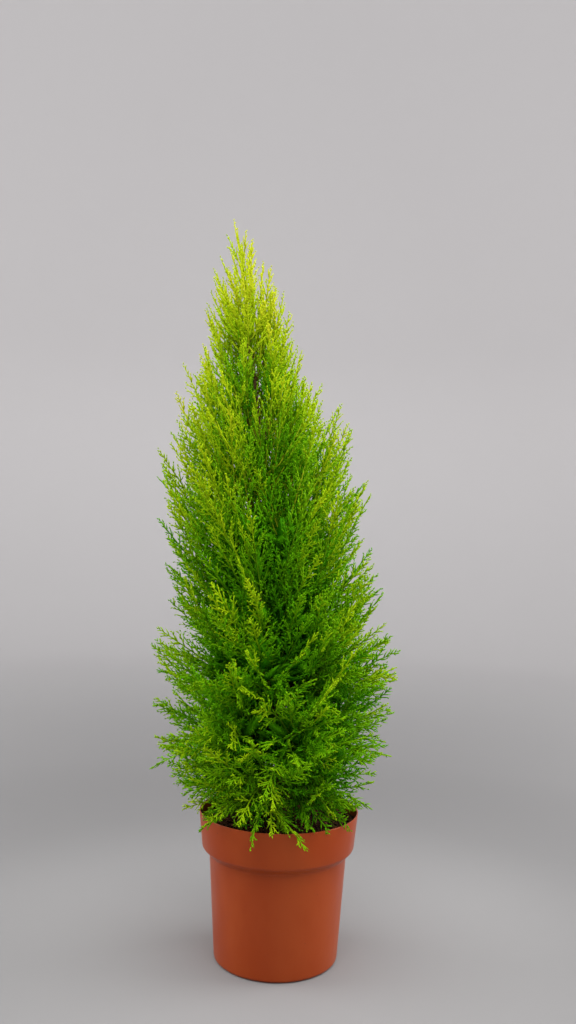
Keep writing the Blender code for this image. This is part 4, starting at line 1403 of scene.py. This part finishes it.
@dataclass
class Tree:
    """The whole plant: trunk, boughs, twigs and sprays."""

    crown: Crown = field(default_factory=Crown)
    layout: CrownLayout = field(default_factory=CrownLayout)
    rule: PlumeRule = field(default_factory=PlumeRule)
    pot: PotShape = field(default_factory=PotShape)
    bark: BarkFinish = field(default_factory=BarkFinish)
    trunk_rings: int = 620
    trunk_sides: int = 56
    trunk_crowding: float = 1.15
    strips: float = 0.030
    flakes: float = 0.020
    lobes: int = 5
    lobe_depth: float = 0.10
    lobe_height: float = 0.02
    lobe_turn: float = 0.6
    bough_rings: int = 50
    bough_sides: int = 20
    bough_relief: float = 0.06
    bough_collar: Pair = (0.22, 0.06)
    stem_places: int = 10
    wood_places: int = 7
    leader_twigs: int = 11
    leader_starts: Pair = (0.780, 0.915)
    leader_lengths: Pair = (0.135, 0.062)
    leader_chance: Pair = (0.75, 1.1)
    leader_below_top: Pair = (0.004, 0.030)
    leader_room: float = 0.008
    leader_reach: Pair = (0.40, 1.0)
    leader_turn: float = 0.4
    leader_climb: float = 0.94
    leader_fan: float = 0.85
    leader_lean: float = 0.006
    leader_overlap: float = 0.01
    leader_taper: Pair = (1.0, 0.4)
    leader_sprays: Triple = (0.020, 0.26, 30.0)

    def masses(self) -> list[list[Mass]]:
        """The masses, tier by tier."""
        return [
            [Mass(self.crown, self.layout, tier, index) for index in range(count)]
            for tier, count in enumerate(self.layout.counts)
        ]

    def build(self) -> None:
        """Makes every piece of the plant: trunk, boughs, then the sprays and twigs of each tier."""
        tiers = self.masses()
        bark = self.bark.make()
        self.build_trunk(bark)
        self.build_boughs([m for tier in tiers for m in tier if m.has_bough], bark)
        twig_materials = [finish.make() for finish in TWIG_FINISHES]
        greens = [finish.make() for finish in GREENS]
        for tier, masses in enumerate(tiers):
            rng = np.random.default_rng([self.layout.seed, tier])
            foliage = Foliage(self.crown, self.rule, self.pot, rng)
            twigs = np.concatenate([mass.twig_paths(rng) for mass in masses])
            twigs = twigs[self.pot.clear(twigs, self.layout.twig_room).all(1)]
            high = tier / (len(tiers) - 1)
            sprays = make_piece(f"sprays_{tier + 1}", foliage.grow(twigs, high), greens)
            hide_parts(*(f"foliage_{m.tier + 1}_{m.index + 1}" for m in masses))
            make_piece(f"twigs_{tier + 1}", self.wood(masses, twigs, rng), twig_materials)
        self.build_leader(greens, twig_materials)

    def build_trunk(self, bark: bpy.types.Material) -> None:
        """The trunk: its solid's taper and flare, strips and flakes of bark in relief, and lobes at the foot.

        The lobes add lobe_depth * cos(lobes * angle + lobe_turn) * exp(-rise / lobe_height) of the radius.

        Args:
            bark: Its material.
        """
        c = self.crown
        z = blend(c.foot[1], c.trunk_top, np.linspace(0, 1, self.trunk_rings) ** self.trunk_crowding)
        angle = even_angles(self.trunk_sides)[None]
        relief = self.strips * ripples(angle, z[:, None], 10, 13, 60.0, 21)
        relief += self.flakes * ripples(angle, z[:, None], 8, 24, 260.0, 22)
        fade = np.exp(-(z - c.foot[1]) / self.lobe_height)[:, None]
        lobes = self.lobe_depth * np.cos(self.lobes * angle + self.lobe_turn) * fade
        radii = c.trunk_radius(z)[:, None] * (1 + relief + lobes)
        trunk = make_piece("trunk_dressed", skin(c.trunk_centre(z), radii), [bark])
        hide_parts("trunk")

    def build_boughs(self, masses: list[Mass], bark: bpy.types.Material) -> None:
        """The boughs: tapering limbs from the trunk to where their masses begin, each with a collar.

        Args:
            masses: The masses that have a bough.
            bark: Their material.
        """
        p = self.layout
        angle = even_angles(self.bough_sides)[None]
        share = np.linspace(0, 1, self.bough_rings)[:, None]
        swell, fade = self.bough_collar
        radius = blend(p.bough_radius, p.bough_tip_radius, share) * (1 + swell * np.exp(-share / fade))
        limbs = []
        for number, mass in enumerate(masses):
            path = mass.limb(float(self.crown.trunk_radius(mass.u)), mass.bough_end(), self.bough_rings)
            relief = self.bough_relief * ripples(angle, share, 7, 7, 40.0, 40 + number)
            limbs.append(skin(path, radius * (1 + relief)))
        boughs = make_piece("boughs_dressed", Shell.joined(limbs), [bark])
        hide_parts(*(f"bough_{m.tier + 1}_{m.index + 1}" for m in masses))

    def wood(self, masses: list[Mass], twigs: Array, rng: np.random.Generator) -> Shell:
        """The stems of a tier's masses and the woody part of their twigs.

        Args:
            masses: The tier's masses.
            twigs: Their twigs' middle lines.
            rng: Turns the tapers.

        Returns:
            One shell, grouped by the numbers of the twig finishes.
        """
        p = self.layout
        stems = np.stack([m.limb(m.bough_end(), p.stem_share * m.reach, self.stem_places) for m in masses])
        stem_radii = np.linspace(p.stem_radius, p.stem_tip_radius, self.stem_places)
        share = np.linspace(0, p.twig_wood, self.wood_places)
        lines = along(twigs, share[None] * np.ones((len(twigs), 1)))[0]
        twig_radii = p.twig_radius * np.linspace(*p.twig_taper, self.wood_places)
        lime = 1 + (lines[:, -1, 2] > p.lime_height)
        return Shell.joined(
            [
                tapers(stems, stem_radii * np.ones((len(stems), 1)), 8, np.zeros(len(stems), int), rng),
                tapers(lines, twig_radii * np.ones((len(lines), 1)), 4, lime, rng),
            ]
        )

    def leader_lines(self, rng: np.random.Generator) -> Array:
        """The middle lines of the leading shoot and of steep twigs that leave the trunk below it.

        At share s a twig has risen by s^leader_climb of the way from its start on the trunk to its top, and
        stands out by s^leader_fan of a drawn part of the outline's distance there.

        Args:
            rng: Draws each twig's length, top and reach.

        Returns:
            Points, shaped (1 + leader_twigs, twig_places, 3).
        """
        c, count = self.crown, self.leader_twigs
        s = np.linspace(0, 1, self.layout.twig_places)
        lead = c.trunk_centre(blend(c.trunk_top - self.leader_overlap, c.top, s))
        lead[:, 0] -= self.leader_lean * s**2
        number = np.arange(count)
        start = blend(*self.leader_starts, number / (count - 1))
        phi = (GOLDEN_ANGLE * number + self.leader_turn)[:, None]
        length = blend(*self.leader_lengths, number / (count - 1)) * rng.uniform(*self.leader_chance, count)
        top = np.minimum(start + length, c.top - rng.uniform(*self.leader_below_top, count))
        out = (c.outline(top) + self.leader_room) * rng.uniform(*self.leader_reach, count)
        z = blend(start[:, None], top[:, None], s[None] ** self.leader_climb)
        r = out[:, None] * s[None] ** self.leader_fan
        twigs = c.trunk_centre(z) + np.stack([r * np.cos(phi), r * np.sin(phi), 0 * r], -1)
        return np.concatenate([lead[None], twigs])

    def build_leader(self, greens: list[bpy.types.Material], wood: list[bpy.types.Material]) -> None:
        """The top of the plant, with sparser and steeper sprays than the tiers have.

        Args:
            greens: The sprays' materials.
            wood: The twigs' materials.
        """
        rng = np.random.default_rng([self.layout.seed, 99])
        lines = self.leader_lines(rng)
        first, slope, angle = self.leader_sprays
        both = {"spray_first": (first,) * 2, "spray_slope": (slope,) * 2, "spray_angle": (angle,) * 2}
        rule = replace(self.rule, **both)
        foliage = Foliage(self.crown, rule, self.pot, rng)
        sprays = make_piece("sprays_leader", foliage.grow(lines, 1.0), greens)
        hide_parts("foliage_leader")
        girth = np.full((len(lines), 1), self.layout.twig_radius)
        radii = girth * np.linspace(*self.leader_taper, self.layout.twig_places)
        make_piece("twigs_leader", tapers(lines, radii, 4, np.full(len(lines), 2), rng), wood)


# Studio


@dataclass(frozen=True)
class Lamp:
    """A square soft light: where it hangs, the height that it is turned to, its width and its power."""

    name: str
    spot: Triple
    aim: float
    size: float
    power: float


@dataclass(frozen=True)
class FloorFinish:
    """A pale floor: its colour times a tone of painted light and shade, which follows how far out and how
    high up a place is.
    """

    colour: Triple = (1.0, 0.982, 0.985)
    # Painted light and shade: the floor's tone darkens and lightens in rings out from the pot and up the wall
    painted_light_tones: tuple[Pair, ...] = (
        (0.00, 0.262), (0.34, 0.285), (0.62, 0.180), (1.10, 0.210), (1.90, 0.325), (2.80, 0.490),
        (4.20, 0.570), (5.60, 0.735), (8.00, 0.640),
    )  # fmt: skip

    def make(self) -> bpy.types.Material:
        """The floor's material: its tone of painted light and shade is read at the distance from the axis
        plus the height.

        Returns:
            The material.
        """
        nodes = Nodes("floor_pale_painted_light")
        place, last = nodes.place(), self.painted_light_tones[-1][0]
        split = nodes.add("ShaderNodeSeparateXYZ")
        nodes.link(place, split.inputs["Vector"])
        level = nodes.add("ShaderNodeVectorMath", operation="MULTIPLY")
        level.inputs[1].default_value = (1.0, 1.0, 0.0)
        nodes.link(place, level.inputs[0])
        out = nodes.add("ShaderNodeVectorMath", operation="LENGTH")
        nodes.link(level.outputs["Vector"], out.inputs[0])
        run = nodes.add("ShaderNodeMath", operation="ADD")
        nodes.link(out.outputs["Value"], run.inputs[0])
        nodes.link(split.outputs["Z"], run.inputs[1])
        share = nodes.add("ShaderNodeMapRange", From_Max=last)
        nodes.link(run.outputs["Value"], share.inputs["Value"])
        # The rings of painted light and shade
        bands = nodes.add("ShaderNodeValToRGB")
        bands.color_ramp.interpolation = "B_SPLINE"
        stops = bands.color_ramp.elements
        for number, (reach, tone) in enumerate(self.painted_light_tones):
            stop = stops[number] if number < 2 else stops.new(1.0)
            stop.position = reach / last
            stop.color = (*(tone * c for c in self.colour), 1.0)
        nodes.link(share.outputs["Result"], bands.inputs["Fac"])
        nodes.paint(bands.outputs["Color"])
        nodes.set(Roughness=0.8, Specular_IOR_Level=0.2)
        return nodes.material


@dataclass
class Studio:
    """A pale floor, painted with rings of light and shade, that curves up into a round wall, soft light, and
    the camera of the photograph.
    """

    lens: float = 33.05
    sensor: float = 36.0
    eye: Triple = (0.0019, -1.251, 0.566)
    pitch: float = 0.87
    roll: float = 1.49
    floor_radius: float = 2.6
    bend_radius: float = 1.6
    bend_steps: int = 24
    wall_height: float = 4.4
    floor_sides: int = 128
    floor_finish: FloorFinish = field(default_factory=FloorFinish)
    air: Triple = (1.0, 0.99, 1.0)
    air_strength: float = 1.1
    lamps: tuple[Lamp, ...] = (
        Lamp("above", (0.10, -0.9, 2.3), 0.45, 1.6, 34.0),
        Lamp("left", (-1.8, 0.15, 1.1), 0.40, 1.3, 21.0),
        Lamp("right", (1.8, 0.25, 1.1), 0.40, 1.3, 27.0),
    )

    def build(self) -> None:
        """Makes the camera, the light and the floor."""
        self.build_camera()
        self.build_air()
        self.build_floor()
        for lamp in self.lamps:
            self.add_light(lamp)
        bpy.context.scene.view_settings.view_transform = "Standard"

    def build_camera(self) -> None:
        """The camera: it looks along +Y, tipped up by pitch, then rolled about its own line of sight."""
        data = bpy.data.cameras.new("camera")
        data.lens, data.sensor_width = self.lens, self.sensor
        camera = bpy.data.objects.new("camera", data)
        bpy.context.scene.collection.objects.link(camera)
        tipped = Matrix.Rotation(math.radians(90 + self.pitch), 4, "X")
        rolled = Matrix.Rotation(math.radians(self.roll), 4, "Z")
        camera.matrix_world = Matrix.Translation(self.eye) @ tipped @ rolled
        bpy.context.scene.camera = camera

    def build_air(self) -> None:
        """An even light from above the wall."""
        world = bpy.data.worlds.new("air")
        world.use_nodes = True
        sky = world.node_tree.nodes["Background"]
        sky.inputs["Color"].default_value = (*self.air, 1.0)
        sky.inputs["Strength"].default_value = self.air_strength
        bpy.context.scene.world = world

    def build_floor(self) -> None:
        """The floor: a disc whose edge curves up into the wall by a quarter circle of bend_radius."""
        turn = np.radians(np.linspace(-90, 0, self.bend_steps))
        radius = np.concatenate([[0.0], self.floor_radius + self.bend_radius * np.cos(turn)])
        height = np.concatenate([[0.0], self.bend_radius * (1 + np.sin(turn))])
        radius, height = np.append(radius, radius[-1]), np.append(height, self.wall_height)
        angle = even_angles(self.floor_sides)
        x, y = radius[:, None] * np.cos(angle), radius[:, None] * np.sin(angle)
        points = np.stack([x, y, height[:, None] + 0 * angle], -1)
        row, corner = np.meshgrid(np.arange(len(radius) - 1), np.arange(self.floor_sides), indexing="ij")
        a, b = row * self.floor_sides + corner, row * self.floor_sides + (corner + 1) % self.floor_sides
        faces = np.stack([a, a + self.floor_sides, b + self.floor_sides, b], -1).reshape(-1, 4)
        mesh = bpy.data.meshes.new("floor")
        mesh.from_pydata(points.reshape(-1, 3).tolist(), [], faces.tolist())
        shape = bmesh.new()
        shape.from_mesh(mesh)
        bmesh.ops.remove_doubles(shape, verts=shape.verts, dist=1e-6)
        shape.to_mesh(mesh)
        shape.free()
        mesh.shade_smooth()
        mesh.materials.append(self.floor_finish.make())
        floor = bpy.data.objects.new("floor", mesh)
        bpy.context.scene.collection.objects.link(floor)

    def add_light(self, lamp: Lamp) -> None:
        """Hangs a lamp, turned to its height on the axis.

        Args:
            lamp: What to hang.
        """
        data = bpy.data.lights.new(lamp.name, "AREA")
        data.size, data.energy = lamp.size, lamp.power
        light = bpy.data.objects.new(lamp.name, data)
        light.location = lamp.spot
        way = Vector((0.0, 0.0, lamp.aim)) - Vector(lamp.spot)
        light.rotation_euler = way.to_track_quat("-Z", "Y").to_euler()
        bpy.context.scene.collection.objects.link(light)


def main() -> None:
    """Builds the studio, the pot with its compost, and the plant."""
    logging.basicConfig(level=logging.INFO, format="%(message)s")
    Studio().build()
    Pot().build()
    Compost().build()
    Tree().build()


if __name__ == "__main__":
    main()
